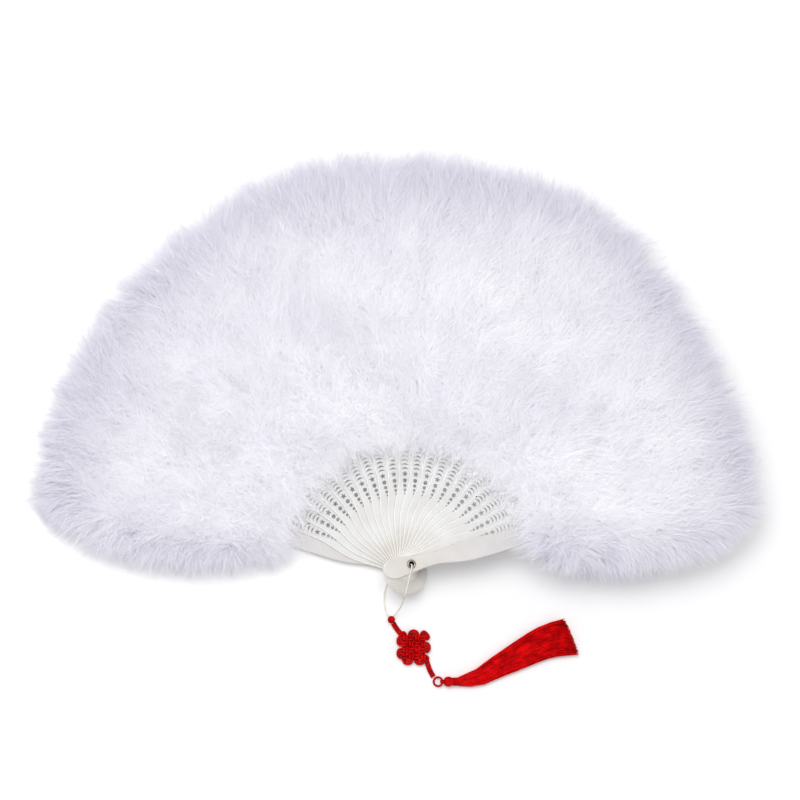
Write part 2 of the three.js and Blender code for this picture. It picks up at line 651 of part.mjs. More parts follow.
// The origin lies on the table under the middle of the fan, the tassel left out
const fan = fanGroup();
const model = new THREE.Group();
model.add(fan, tasselGroup());
model.updateMatrixWorld(true);
const middle = new THREE.Box3().setFromObject(fan, true).getCenter(new THREE.Vector3());
model.position.set(-middle.x, -middle.y, 0);
model.updateMatrixWorld(true);

export default model;
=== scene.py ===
"""Folding fan of white down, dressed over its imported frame.

Pierced ivory sticks turn on one nickel eyelet, every stick carries a plume of down, ribbon links hold the
sticks apart, and a silk tassel with a woven knot hangs on a white cord through the eyelet. Metres, +Z up.
"""

import json
import logging
import math
from dataclasses import dataclass
from enum import Enum
from typing import Sequence

import bpy
import numpy as np
from mathutils import Matrix, Vector


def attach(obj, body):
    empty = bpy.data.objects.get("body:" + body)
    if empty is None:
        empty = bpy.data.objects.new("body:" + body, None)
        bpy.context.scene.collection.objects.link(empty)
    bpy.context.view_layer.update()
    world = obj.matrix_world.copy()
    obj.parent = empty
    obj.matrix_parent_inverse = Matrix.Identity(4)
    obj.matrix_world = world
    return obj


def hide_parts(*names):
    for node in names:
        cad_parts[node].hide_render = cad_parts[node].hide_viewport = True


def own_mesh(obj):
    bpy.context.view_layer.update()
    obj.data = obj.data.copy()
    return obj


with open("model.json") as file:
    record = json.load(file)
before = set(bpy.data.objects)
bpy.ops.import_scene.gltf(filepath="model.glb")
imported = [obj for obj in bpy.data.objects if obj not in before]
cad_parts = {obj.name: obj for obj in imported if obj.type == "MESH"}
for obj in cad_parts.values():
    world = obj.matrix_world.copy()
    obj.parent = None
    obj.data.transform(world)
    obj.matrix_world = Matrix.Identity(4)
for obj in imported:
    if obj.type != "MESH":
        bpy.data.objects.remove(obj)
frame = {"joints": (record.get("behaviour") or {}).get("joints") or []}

MM = 0.001
CM2_A_M2 = 1e4
FULL_TURN = 2 * math.pi
UP = (0.0, 0.0, 1.0)
GOLDEN_SHARE = 0.6180339887
FOLD_JOINT = "fan_fold"
BASE_BODY = "rear_guard"
BAKE_MAP = "OFBake"
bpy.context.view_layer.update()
LOG = logging.getLogger("feather_fan")

# Steps of a curve between two points of its route, and the distances under which two points are one
CURVE_STEPS = 40
LEAST_STEP = 1e-9
MERGED = 1e-7
MERGED_CUT = 1e-6

# Angles under which neighbouring faces shade as one surface
PLATE_SMOOTH = math.radians(18)
METAL_SMOOTH = math.radians(35)
SOFT_SMOOTH = math.radians(60)
CORD_SMOOTH = math.radians(70)

Points = Sequence[Sequence[float]]
Span = tuple[float, float]
Place = tuple[float, float, float]
Colour = tuple[float, float, float]
Inputs = dict[str | int, object]
Array = np.ndarray
Piece = bpy.types.Object
Material = bpy.types.Material
Socket = bpy.types.NodeSocket


class Slot(Enum):
    """Material slots of the record, passed along with each piece."""

    STICK = "stick_plastic"
    DOWN = "down"
    NICKEL = "nickel"
    RIBBON = "ribbon"
    LOOP = "loop_cord"
    SILK = "red_silk"


class StickRole(Enum):
    """What a stick is in the stack."""

    REAR_GUARD = "rear_guard"
    STAVE = "stave"
    FRONT_GUARD = "front_guard"


class Coat(Enum):
    """Where on a plume a layer of barbs grows."""

    COVER = "cover"
    FRINGE = "fringe"
    EDGE = "edge"
    SIDE = "side"
    LIP = "lip"
    UNDERSIDE = "underside"


# Modelling helpers


def deselect_all() -> None:
    """Leaves edit mode and clears the selection, so that an operator acts on the new piece alone."""
    active = bpy.context.view_layer.objects.active
    if active and active.mode != "OBJECT":
        bpy.ops.object.mode_set(mode="OBJECT")
    bpy.ops.object.select_all(action="DESELECT")


def make_active(piece: Piece) -> None:
    """Selects one piece alone and makes it the active object.

    Args:
        piece: The piece.
    """
    deselect_all()
    piece.select_set(True)
    bpy.context.view_layer.objects.active = piece


def weld(piece: Piece, fill_ends: bool = False, merge: float = MERGED) -> None:
    """Merges doubled points, closes open ends and turns every face outwards.

    Args:
        piece: The mesh object to close.
        fill_ends: Whether open boundaries get a face.
        merge: Distance under which two points become one.
    """
    make_active(piece)
    bpy.ops.object.mode_set(mode="EDIT")
    bpy.ops.mesh.select_all(action="SELECT")
    bpy.ops.mesh.remove_doubles(threshold=merge)
    if fill_ends:
        bpy.ops.mesh.fill_holes(sides=0)
    bpy.ops.mesh.select_all(action="SELECT")
    bpy.ops.mesh.normals_make_consistent(inside=False)
    bpy.ops.object.mode_set(mode="OBJECT")


def clear_maps(piece: Piece) -> None:
    """Removes the maps that a primitive brings with it."""
    while piece.data.uv_layers:
        piece.data.uv_layers.remove(piece.data.uv_layers[0])


def rolled_sheet(name: str, rings: Array, smooth: float = SOFT_SMOOTH) -> Piece:
    """Skins a row of closed rings: a grid is rolled into a tube, its seam merged and its ends filled.

    Args:
        name: Name of the new piece.
        rings: Points as rows of rings, shape (rows, points of a ring, 3).
        smooth: Angle under which neighbouring faces shade as one surface.

    Returns:
        The finished tube, with its place in its mesh.
    """
    rows, count = rings.shape[:2]
    deselect_all()
    bpy.ops.mesh.primitive_grid_add(x_subdivisions=count, y_subdivisions=rows - 1)
    sheet = bpy.context.object
    sheet.name = name
    closed = np.concatenate([rings, rings[:, :1]], axis=1)
    sheet.data.vertices.foreach_set("co", closed.astype(np.float32).ravel())
    sheet.data.update()
    clear_maps(sheet)
    weld(sheet, fill_ends=True)
    bpy.ops.object.shade_smooth_by_angle(angle=smooth)
    return sheet


def joined(name: str, parts: Sequence[Piece]) -> Piece:
    """Joins several meshes of one piece into a single object.

    Args:
        name: Name of the whole piece.
        parts: The meshes to join.

    Returns:
        The whole piece.
    """
    deselect_all()
    for part in parts:
        part.select_set(True)
    bpy.context.view_layer.objects.active = parts[0]
    bpy.ops.object.join()
    whole = bpy.context.object
    whole.name = name
    return whole


def mesh_of(name: str, points: Array, faces: Sequence[Array]) -> Piece:
    """Makes a piece from many small faces at once.

    Args:
        name: Name of the new piece.
        points: All points, shape (count, 3).
        faces: Arrays of point numbers, each array with one number of corners per row.

    Returns:
        The new mesh object, smooth shaded.
    """
    mesh = bpy.data.meshes.new(name)
    mesh.vertices.add(len(points))
    mesh.vertices.foreach_set("co", points.astype(np.float32).ravel())
    corners = np.concatenate([group.ravel() for group in faces]).astype(np.int32)
    sizes = np.concatenate([np.full(len(group), group.shape[1]) for group in faces])
    starts = np.concatenate([[0], np.cumsum(sizes)[:-1]]).astype(np.int32)
    mesh.loops.add(len(corners))
    mesh.loops.foreach_set("vertex_index", corners)
    mesh.polygons.add(len(sizes))
    mesh.polygons.foreach_set("loop_start", starts)
    mesh.polygons.foreach_set("use_smooth", np.ones(len(sizes), bool))
    mesh.update(calc_edges=True)
    piece = bpy.data.objects.new(name, mesh)
    bpy.context.collection.objects.link(piece)
    return piece


def set_map(piece: Piece, values: Array) -> None:
    """Writes the piece's own map, two numbers a point, which its material reads.

    Args:
        piece: The mesh object.
        values: One (u, v) pair for each point of the mesh.
    """
    mesh = piece.data
    layer = mesh.uv_layers.new(name=BAKE_MAP)
    corners = np.zeros(len(mesh.loops), np.int32)
    mesh.loops.foreach_get("vertex_index", corners)
    layer.uv.foreach_set("vector", values[corners].astype(np.float32).ravel())


def turns(count: int) -> Array:
    """Returns evenly spaced angles once round a ring."""
    return np.linspace(0, FULL_TURN, count, endpoint=False)


def run_along(route: Array) -> Array:
    """Returns the distance along a route from its first point to each point."""
    return np.concatenate([[0], np.cumsum(np.linalg.norm(np.diff(route, axis=0), axis=1))])


def sampled(values: Array, known: Array, at: Array) -> Array:
    """Returns points or vectors that are known at some places, read at other places between them."""
    return np.stack([np.interp(at, known, values[:, k]) for k in range(3)], axis=-1)


def smooth_route(points: Points, spacing: float) -> Array:
    """Runs a centripetal Catmull-Rom curve through points, as evenly spaced points.

    Args:
        points: The route's points, in metres.
        spacing: Distance between the points that are returned.

    Returns:
        Points along the curve, shape (count, 3), with both ends of the route.
    """
    knots = np.array(points, float)
    knots = np.vstack([2 * knots[0] - knots[1], knots, 2 * knots[-1] - knots[-2]])
    share = np.linspace(0, 1, CURVE_STEPS)[:, None]
    pieces = []
    for first in range(len(knots) - 3):
        a, b, c, d = knots[first:first + 4]
        steps = [math.sqrt(max(float(np.linalg.norm(q - p)), LEAST_STEP))
                 for p, q in ((a, b), (b, c), (c, d))]
        into = (b - a) / steps[0] - (c - a) / (steps[0] + steps[1]) + (c - b) / steps[1]
        out = (c - b) / steps[1] - (d - b) / (steps[1] + steps[2]) + (d - c) / steps[2]
        into = into * steps[1]
        out = out * steps[1]
        cubic = (2 * b - 2 * c + into + out) * share ** 3
        square = (-3 * b + 3 * c - 2 * into - out) * share ** 2
        pieces.append((cubic + square + into * share + b)[:-1])
    dense = np.vstack(pieces + [knots[-2:-1]])
    run = run_along(dense)
    count = max(2, round(run[-1] / spacing) + 1)
    return sampled(dense, run, np.linspace(0, run[-1], count))


def directions(route: Array) -> Array:
    """Returns the unit direction of a route at each of its points."""
    along = np.gradient(route, axis=0)
    return along / np.linalg.norm(along, axis=-1, keepdims=True)


def carried_sides(route: Array, steep: float = 0.9) -> tuple[Array, Array]:
    """Carries two side directions along a route without twisting them.

    Args:
        route: Points of the route.
        steep: Rise of the first step beyond which the sides start from another axis.

    Returns:
        Two arrays of unit vectors, square to the route and to each other.
    """
    along = directions(route)
    side = np.cross(along[0], UP if abs(along[0][2]) < steep else (0.0, 1.0, 0.0))
    sides = []
    for direction in along:
        side = side - direction * side.dot(direction)
        side = side / np.linalg.norm(side)
        sides.append(side)
    first = np.array(sides)
    return first, np.cross(along, first)


def smooth_step(low: float, high: float, value: Array) -> Array:
    """Returns 0 below low, 1 above high and an even ramp between."""
    share = np.clip((value - low) / (high - low), 0, 1)
    return share * share * (3 - 2 * share)


def unit(vectors: Array, least: float = 1e-12) -> Array:
    """Returns vectors scaled to a length of one."""
    return vectors / np.maximum(np.linalg.norm(vectors, axis=-1, keepdims=True), least)


# Finishes


class NodeSheet:
    """The node tree of a material or a world, with short ways to add nodes and feed their inputs."""

    def __init__(self, owner: bpy.types.ID, shader: str) -> None:
        """Opens a new material's or world's node tree.

        Args:
            owner: The material or world.
            shader: Name of the shader node that it starts with.
        """
        owner.use_nodes = True
        self.owner = owner
        self.tree = owner.node_tree
        self.shader = self.tree.nodes[shader]

    def feed(self, node: bpy.types.Node, inputs: Inputs) -> None:
        """Links sockets to a node's inputs and sets constants on its inputs.

        Args:
            node: The node.
            inputs: Sockets and constants, by the name or the number of their input.
        """
        for key, value in inputs.items():
            if isinstance(value, Socket):
                self.tree.links.new(value, node.inputs[key])
            else:
                node.inputs[key].default_value = value

    def add(self, kind: str, inputs: Inputs, **settings: str) -> bpy.types.Node:
        """Adds a node, with its properties set and its inputs fed.

        Args:
            kind: The node's type name after the word ShaderNode.
            inputs: Sockets and constants for its inputs.
            settings: Properties of the node.

        Returns:
            The new node.
        """
        node = self.tree.nodes.new(f"ShaderNode{kind}")
        for key, value in settings.items():
            setattr(node, key, value)
        self.feed(node, inputs)
        return node

    def finished(self, inputs: Inputs) -> bpy.types.ID:
        """Feeds the shader's inputs and returns the material or world."""
        self.feed(self.shader, inputs)
        return self.owner

    def object_place(self) -> Socket:
        """Returns the piece's own Object coordinates."""
        return self.add("TexCoord", {}).outputs["Object"]

    def noise(self, place: Socket, grain: Span) -> Socket:
        """Returns the value of a noise pattern, whose grain is its scale and its detail."""
        return self.add("TexNoise", {"Vector": place, "Scale": grain[0], "Detail": grain[1]}).outputs["Fac"]

    def spread(self, value: Socket, ends: Span) -> Socket:
        """Returns a value of 0 to 1 mapped to the range between two ends."""
        return self.add("MapRange", {"Value": value, "To Min": ends[0], "To Max": ends[1]}).outputs["Result"]

    def bump(self, height: Socket, distance: float) -> Socket:
        """Returns the normals of a bump of this height, in metres."""
        return self.add("Bump", {"Height": height, "Distance": distance, "Strength": 1.0}).outputs["Normal"]

    def multiplied(self, first: Socket, second: Socket) -> Socket:
        """Returns the product of two colours, which a mix node takes at its inputs 6 and 7."""
        mix = self.add("Mix", {0: 1.0, 6: first, 7: second}, data_type="RGBA", blend_type="MULTIPLY")
        return mix.outputs[2]

    def ramp(self, value: Socket, places: Sequence[float], colours: Sequence[Colour]) -> Socket:
        """Adds a colour ramp over a value.

        Args:
            value: The socket that drives the ramp.
            places: Places of the stops, from 0 to 1.
            colours: Linear colours of the stops.

        Returns:
            The ramp's colour socket.
        """
        node = self.add("ValToRGB", {"Fac": value})
        elements = node.color_ramp.elements
        while len(elements) < len(places):
            elements.new(0.5)
        for element, place, colour in zip(elements, places, colours):
            element.position = place
            element.color = (*colour, 1)
        return node.outputs["Color"]


def new_material(name: str) -> NodeSheet:
    """Returns the node tree of a new material with a bare Principled shader."""
    return NodeSheet(bpy.data.materials.new(name), "Principled BSDF")


@dataclass(frozen=True)
class DownFinish:
    """White down: a little darker and cooler at a barb's root, a painted shade of the depth, near white at
    its tip.
    """

    # Painted shade: a barb's root is a little darker than its tip
    root: Colour = (0.967, 0.964, 0.999)
    middle: Colour = (0.98, 0.977, 0.999)
    tip: Colour = (0.985, 0.982, 0.999)
    along_at: Place = (0.0, 0.4, 1.0)
    # The dark end of the tone ramp, for random tone and for painted shade towards the fan's outline
    shade: Colour = (0.77, 0.76, 0.82)
    light: Colour = (1.0, 1.0, 1.0)
    tone_at: Span = (0.0, 1.0)
    roughness: float = 1.0
    shine: float = 0.1

    def material(self) -> Material:
        """Makes the material from the map, which holds how far along a barb a point lies and its tone.

        Returns:
            The material.
        """
        sheet = new_material("white_down")
        place = sheet.add("UVMap", {}, uv_map=BAKE_MAP).outputs["UV"]
        parts = sheet.add("SeparateXYZ", {"Vector": place}).outputs
        along = sheet.ramp(parts["X"], self.along_at, (self.root, self.middle, self.tip))
        tone = sheet.ramp(parts["Y"], self.tone_at, (self.shade, self.light))
        return sheet.finished({
            "Base Color": sheet.multiplied(along, tone),
            "Roughness": self.roughness,
            "Specular IOR Level": self.shine,
        })


@dataclass(frozen=True)
class IvoryFinish:
    """Moulded ivory plastic: creamier near the pivot, with faint flow marks, a soft shine and painted shade.
    """

    name: str
    centre: Place
    # Cream tint, with painted shade: darker near the pivot, over the stacked tails
    cream_and_painted_shade: Colour = (0.66, 0.63, 0.592)
    white: Colour = (0.74, 0.735, 0.724)
    # Painted shade: darker and cooler far out, under the down
    cool_painted_shade: Colour = (0.656, 0.656, 0.675)
    tone_at: Place = (0.15, 0.3, 1.0)
    far: float = 85 * MM
    mottle: Colour = (0.94, 0.93, 0.915)
    clear: Colour = (1.0, 1.0, 1.0)
    mottle_at: Span = (0.35, 0.65)
    flow: Span = (90.0, 4.0)
    grain: Span = (700.0, 2.0)
    grain_height: float = 0.02 * MM
    roughness: Span = (0.26, 0.42)
    depth_share: float = 0.12
    depth: float = 1.2 * MM
    depth_colour: Colour = (1.0, 0.9, 0.7)

    def material(self) -> Material:
        """Makes the material, centred on the pivot in Object coordinates.

        Returns:
            The material.
        """
        sheet = new_material(self.name)
        place = sheet.object_place()
        centred = sheet.add("Mapping", {"Vector": place, "Location": tuple(-value for value in self.centre)})
        reach = sheet.add("VectorMath", {0: centred.outputs["Vector"]}, operation="LENGTH")
        share = sheet.add("MapRange", {"Value": reach.outputs["Value"], "From Max": self.far})
        # Painted shade: the ramp darkens the plastic near the pivot and far out under the down
        tone = sheet.ramp(share.outputs["Result"], self.tone_at, (self.cream_and_painted_shade, self.white, self.cool_painted_shade))
        flow = sheet.noise(place, self.flow)
        marks = sheet.ramp(flow, self.mottle_at, (self.mottle, self.clear))
        return sheet.finished({
            "Base Color": sheet.multiplied(tone, marks),
            "Roughness": sheet.spread(flow, self.roughness),
            "Normal": sheet.bump(sheet.noise(place, self.grain), self.grain_height),
            "Subsurface Weight": self.depth_share,
            "Subsurface Scale": self.depth,
            "Subsurface Radius": self.depth_colour,
        })


@dataclass(frozen=True)
class NickelFinish:
    """Dark nickel plate with rubbed, brighter patches."""

    dark: Colour = (0.16, 0.15, 0.12)
    bright: Colour = (0.42, 0.40, 0.34)
    wear: Span = (900.0, 5.0)
    wear_at: Span = (0.35, 0.7)
    grain: Span = (2500.0, 2.0)
    grain_height: float = 0.01 * MM
    roughness: Span = (0.38, 0.2)

    def material(self) -> Material:
        """Makes the material, on Object coordinates.

        Returns:
            The material.
        """
        sheet = new_material("eyelet_nickel")
        place = sheet.object_place()
        wear = sheet.noise(place, self.wear)
        return sheet.finished({
            "Base Color": sheet.ramp(wear, self.wear_at, (self.dark, self.bright)),
            "Metallic": 1.0,
            "Roughness": sheet.spread(wear, self.roughness),
            "Normal": sheet.bump(sheet.noise(place, self.grain), self.grain_height),
        })


@dataclass(frozen=True)
class RibbonFinish:
    """White satin ribbon with a fine cross rib."""

    dull: Colour = (0.80, 0.79, 0.80)
    bright: Colour = (0.90, 0.895, 0.90)
    rib_at: Span = (0.2, 0.8)
    rib_scale: float = 130.0
    rib_sway: float = 0.6
    rib_height: float = 0.03 * MM
    roughness: Span = (0.5, 0.35)

    def material(self) -> Material:
        """Makes the material, on Object coordinates.

        Returns:
            The material.
        """
        sheet = new_material("ribbon_satin")
        waves = {"Vector": sheet.object_place(), "Scale": self.rib_scale, "Distortion": self.rib_sway}
        rib = sheet.add("TexWave", waves, wave_type="BANDS", bands_direction="DIAGONAL").outputs["Fac"]
        return sheet.finished({
            "Base Color": sheet.ramp(rib, self.rib_at, (self.dull, self.bright)),
            "Roughness": sheet.spread(rib, self.roughness),
            "Normal": sheet.bump(rib, self.rib_height),
        })


@dataclass(frozen=True)
class ThreadFinish:
    """Twisted or combed thread, with tone that changes from fibre to fibre."""

    name: str
    deep: Colour
    body: Colour
    bright: Colour
    tone_at: Place = (0.36, 0.5, 0.64)
    roughness: Span = (0.4, 0.65)
    shine: float = 0.25
    fine: Span = (1800.0, 4.0)
    broad: Span = (200.0, 2.0)
    fine_share: float = 0.55
    broad_share: float = 0.45
    fibre_height: float = 0.04 * MM

    def material(self) -> Material:
        """Makes the material, on Object coordinates.

        Returns:
            The material.
        """
        sheet = new_material(self.name)
        place = sheet.object_place()
        fine = sheet.noise(place, self.fine)
        scaled = {0: sheet.noise(place, self.broad), 1: self.broad_share}
        broad = sheet.add("Math", scaled, operation="MULTIPLY").outputs["Value"]
        mixed = {0: fine, 1: self.fine_share, 2: broad}
        tone = sheet.add("Math", mixed, operation="MULTIPLY_ADD").outputs["Value"]
        return sheet.finished({
            "Base Color": sheet.ramp(tone, self.tone_at, (self.deep, self.body, self.bright)),
            "Roughness": sheet.spread(fine, self.roughness),
            "Normal": sheet.bump(fine, self.fibre_height),
            "Specular IOR Level": self.shine,
        })


def stave_finish(centre: Place) -> IvoryFinish:
    """Returns the ivory of the staves' blades."""
    return IvoryFinish("ivory_stave", centre)


def guard_finish(centre: Place) -> IvoryFinish:
    """Returns the ivory of the two guards, which is a little duller than the staves."""
    return IvoryFinish("ivory_guard", centre, cream_and_painted_shade=(0.664, 0.635, 0.598), white=(0.674, 0.656, 0.648),
                       cool_painted_shade=(0.616, 0.607, 0.626))


def rib_highlight_finish(centre: Place) -> IvoryFinish:
    """Returns the ivory of the ribs, paler than the blades as a painted highlight along their edges."""
    # Painted highlight: the ribs are much paler than the blades
    return IvoryFinish("ivory_rib", centre, cream_and_painted_shade=(0.93, 0.92, 0.88), white=(0.94, 0.935, 0.92),
                       cool_painted_shade=(0.91, 0.91, 0.92))


def silk_finish() -> ThreadFinish:
    """Returns the red silk cord of the bead, the knot, and the tassel's ring and head."""
    return ThreadFinish("red_silk", deep=(0.257, 0.0, 0.0015), body=(0.495, 0.0005, 0.002),
                        bright=(0.715, 0.004, 0.005), shine=0.06)


def floss_finish() -> ThreadFinish:
    """Returns the red silk of the tassel's loose threads, which is brighter than the cord."""
    return ThreadFinish("red_floss", deep=(0.315, 0.0, 0.0015), body=(0.66, 0.0005, 0.002),
                        bright=(0.89, 0.004, 0.005), shine=0.06)


def loop_finish() -> ThreadFinish:
    """Returns the white cord of the hanging loop."""
    return ThreadFinish("white_cord", deep=(0.66, 0.62, 0.54), body=(0.80, 0.77, 0.70),
                        bright=(0.90, 0.88, 0.84))


def dress(piece: Piece, body: str, slot: Slot, material: Material, *nodes: str) -> None:
    """Gives a finished piece its material and its body, and hides the nodes that it stands for.

    Args:
        piece: The finished object.
        body: Name of the body that it rides on.
        slot: Material slot of the record; not used.
        material: The finish.
        nodes: Solids of the frame that the piece replaces.
    """
    if material.name not in piece.data.materials:
        piece.data.materials.clear()
        piece.data.materials.append(material)
    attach(piece, body)
    if nodes:
        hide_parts(*nodes)
    LOG.info("%s on %s, %d faces", piece.name, body, len(piece.data.polygons))


# Sticks


@dataclass(frozen=True)
class Stick:
    """One stick's place in the open fan."""

    index: int
    role: StickRole
    node: str
    plume_node: str
    angle: float
    bottom: float
    thickness: float
    pivot: Span

    @property
    def body(self) -> str:
        """Name of the body that the stick and its plume ride on."""
        return self.node

    @property
    def top(self) -> float:
        """Height of the stick's upper face."""
        return self.bottom + self.thickness

    @property
    def is_guard(self) -> bool:
        """Whether the stick is one of the two end sticks."""
        return self.role is not StickRole.STAVE

    def placed(self, points: Array) -> Array:
        """Returns points in the frame that are given in the stick's own axes (along, left, up)."""
        return self.turned(points) + np.array([self.pivot[0], self.pivot[1], 0.0])

    def turned(self, vectors: Array) -> Array:
        """Turns vectors from the stick's own axes to the fan's.

        Args:
            vectors: Vectors (along, left, up), shape (..., 3).

        Returns:
            The same vectors in the frame.
        """
        cosine, sine = math.cos(self.angle), math.sin(self.angle)
        along, left, up = vectors[..., 0], vectors[..., 1], vectors[..., 2]
        return np.stack([cosine * along - sine * left, sine * along + cosine * left, up], axis=-1)


@dataclass
class FanStack:
    """The stack of sticks: how many, how far apart and how high each lies."""

    stave_count: int = 21
    pitch: float = math.radians(6.88)
    table_clearance: float = 3.2 * MM
    guard_thickness: float = 2.0 * MM
    stave_thickness: float = 0.9 * MM
    stack_gap: float = 0.2 * MM

    @property
    def centre(self) -> Place:
        """Middle of the eyelet, from the fold's joint."""
        fold = next(joint for joint in frame["joints"] if joint["name"] == FOLD_JOINT)
        return tuple(fold["pos_m"])

    @property
    def pivot(self) -> Span:
        """Place of the eyelet's axis on the table."""
        return self.centre[:2]

    def sticks(self) -> list[Stick]:
        """Lists the sticks from the rear guard at the left to the front guard at the right.

        Returns:
            All sticks.
        """
        last = self.stave_count + 1
        first_stave = self.table_clearance + self.guard_thickness + self.stack_gap
        found = []
        for index in range(last + 1):
            role = {0: StickRole.REAR_GUARD, last: StickRole.FRONT_GUARD}.get(index, StickRole.STAVE)
            stave = role is StickRole.STAVE
            node = f"stave_{index:02d}" if stave else role.value
            bottom = first_stave + (index - 1) * (self.stave_thickness + self.stack_gap)
            found.append(Stick(
                index=index,
                role=role,
                node=node,
                plume_node=f"plume_{index:02d}" if stave else f"{node}_plume",
                angle=math.pi / 2 + (last / 2 - index) * self.pitch,
                bottom=self.table_clearance if role is StickRole.REAR_GUARD else bottom,
                thickness=self.stave_thickness if stave else self.guard_thickness,
                pivot=self.pivot,
            ))
        return found


@dataclass
class PiercedSticks:
    """Staves and guards: flat moulded blades with a round tail, and the staves' pierced ornament.

    A width is (along, half width), and a tongue has its half widths beside the blade and at its tip.
    """

    # Outline
    tail_length: float = 18 * MM
    tail_half_width: float = 6.5 * MM
    tail_round: float = 8 * MM
    tail_steps: int = 14
    side_step: float = 1.6 * MM
    length: float = 175 * MM
    shoulder_at: float = 76 * MM
    shoulder_drop: float = 4 * MM
    stave_widths: tuple[Span, ...] = ((8 * MM, 5.2 * MM), (31 * MM, 7.1 * MM), (52 * MM, 4.0 * MM))
    stave_shoulder: float = 4.3 * MM
    stave_tongue: Span = (2.2 * MM, 1.6 * MM)
    stave_edge: float = 0.26 * MM
    guard_widths: tuple[Span, ...] = ((14 * MM, 3.7 * MM), (37 * MM, 6.4 * MM))
    guard_shoulder: float = 5.0 * MM
    guard_tongue: Span = (3.0 * MM, 2.4 * MM)
    guard_edge: float = 0.55 * MM

    # Holes
    pivot_radius: float = 2.2 * MM
    pivot_sides: int = 32
    first_hole_at: float = 44 * MM
    first_hole_radius: float = 0.55 * MM
    last_hole_radius: float = 1.25 * MM
    hole_count: int = 4
    hole_sides: int = 20
    hole_web: float = 0.9 * MM
    star_radius: float = 1.9 * MM
    star_waist: float = 0.85 * MM
    star_points: int = 5
    slit_count: int = 6
    slit_spacing: float = 2.5 * MM
    slit_half_width: float = 2.1 * MM
    slit_arch: float = 1.25 * MM
    slit_opening: float = 0.85 * MM
    slit_steps: int = 11

    # Ribs on the long edges
    rib_radius: float = 0.34 * MM
    rib_rise: float = 0.15 * MM
    rib_inset: float = 0.95
    rib_end: float = 4 * MM
    rib_end_share: float = 0.35
    rib_sides: int = 8

    def side(self, blade: Points) -> Array:
        """Returns points (along, left, 0) on the left edge of a stick, from its tail to its shoulder."""
        start = (self.tail_round - self.tail_length, self.tail_half_width, 0)
        return smooth_route([start, *((along, width, 0) for along, width in blade)], self.side_step)

    def outline(self, blade: Points, tongue: Span) -> Array:
        """Outline of a stick: round tail, swelling blade and narrow tongue.

        Args:
            blade: Main widths of the blade.
            tongue: Half widths of the tongue.

        Returns:
            Points (along, left) once round the stick.
        """
        round_at = self.tail_round - self.tail_length
        turn = np.linspace(math.pi, math.pi / 2, self.tail_steps, endpoint=False)
        tail = np.stack([round_at + self.tail_round * np.cos(turn),
                         self.tail_half_width * np.sin(turn)], axis=1)
        ends = np.array([(self.shoulder_at + self.shoulder_drop, tongue[0]), (self.length, tongue[1])])
        left = np.vstack([tail, self.side(blade)[:, :2], ends])
        right = left[1:][::-1] * (1, -1)
        return np.vstack([left, right])

    @staticmethod
    def ring(at: float, radius: float | Array, sides: int) -> Array:
        """Returns points round a place on the stick's axis, the first towards the stick's tip."""
        turn = turns(sides)
        return np.stack([at + radius * np.cos(turn), radius * np.sin(turn)], axis=1)

    def star(self, at: float) -> Array:
        """Returns the star's points, one of them towards the stick's tip."""
        radius = np.tile([self.star_radius, self.star_waist], self.star_points)
        return self.ring(at, radius, len(radius))

    def slit(self, at: float) -> Array:
        """Draws an arched slit: a crescent that bows away from the pivot.

        Args:
            at: Its distance from the pivot.

        Returns:
            Points (along, left) once round the slit.
        """
        outer = np.linspace(-1, 1, self.slit_steps)
        inner = np.linspace(1, -1, self.slit_steps)[1:-1]
        arch = at + self.slit_arch * (1 - outer ** 2)
        back = at + (self.slit_arch - self.slit_opening) * (1 - inner ** 2)
        along = np.concatenate([arch, back])
        across = np.concatenate([outer, inner]) * self.slit_half_width
        return np.stack([along, across], axis=1)

    def ornament(self) -> list[Array]:
        """Draws a stave's piercing: growing round holes, a star, then arched slits.

        Returns:
            The outlines of the holes.
        """
        holes = []
        at, radius = self.first_hole_at, self.first_hole_radius
        growth = (self.last_hole_radius - self.first_hole_radius) / (self.hole_count - 1)
        for number in range(self.hole_count):
            holes.append(self.ring(at, radius, self.hole_sides))
            following = radius + growth if number + 1 < self.hole_count else self.star_radius
            at += radius + self.hole_web + following
            radius = following
        holes.append(self.star(at))
        first_slit = at + self.star_radius + self.hole_web
        return holes + [self.slit(first_slit + k * self.slit_spacing) for k in range(self.slit_count)]

    def cut_blank(self, name: str, loops: Sequence[Array], thickness: float, edge: float) -> Piece:
        """Makes a flat plate with rounded edges from closed outlines, the later ones as holes.

        Args:
            name: Name of the blank.
            loops: Closed outlines, the plate's own first.
            thickness: Thickness of the plate.
            edge: Radius of the rounded edges.

        Returns:
            The plate as a mesh, its underside at z = 0.
        """
        curve = bpy.data.curves.new(name, "CURVE")
        curve.dimensions = "2D"
        curve.fill_mode = "BOTH"
        curve.extrude = thickness / 2 - edge
        curve.bevel_depth = edge
        curve.bevel_resolution = 1
        curve.offset = -edge
        for loop in loops:
            spline = curve.splines.new("POLY")
            spline.points.add(len(loop) - 1)
            padded = np.concatenate([loop, np.zeros((len(loop), 1)), np.ones((len(loop), 1))], axis=1)
            spline.points.foreach_set("co", padded.astype(np.float32).ravel())
            spline.use_cyclic_u = True
        blank = bpy.data.objects.new(name, curve)
        bpy.context.collection.objects.link(blank)
        make_active(blank)
        bpy.ops.object.convert(target="MESH")
        blank = bpy.context.object
        blank.data.transform(Matrix.Translation((0, 0, thickness / 2)))
        weld(blank, merge=MERGED_CUT)
        bpy.ops.object.shade_smooth_by_angle(angle=PLATE_SMOOTH)
        return blank

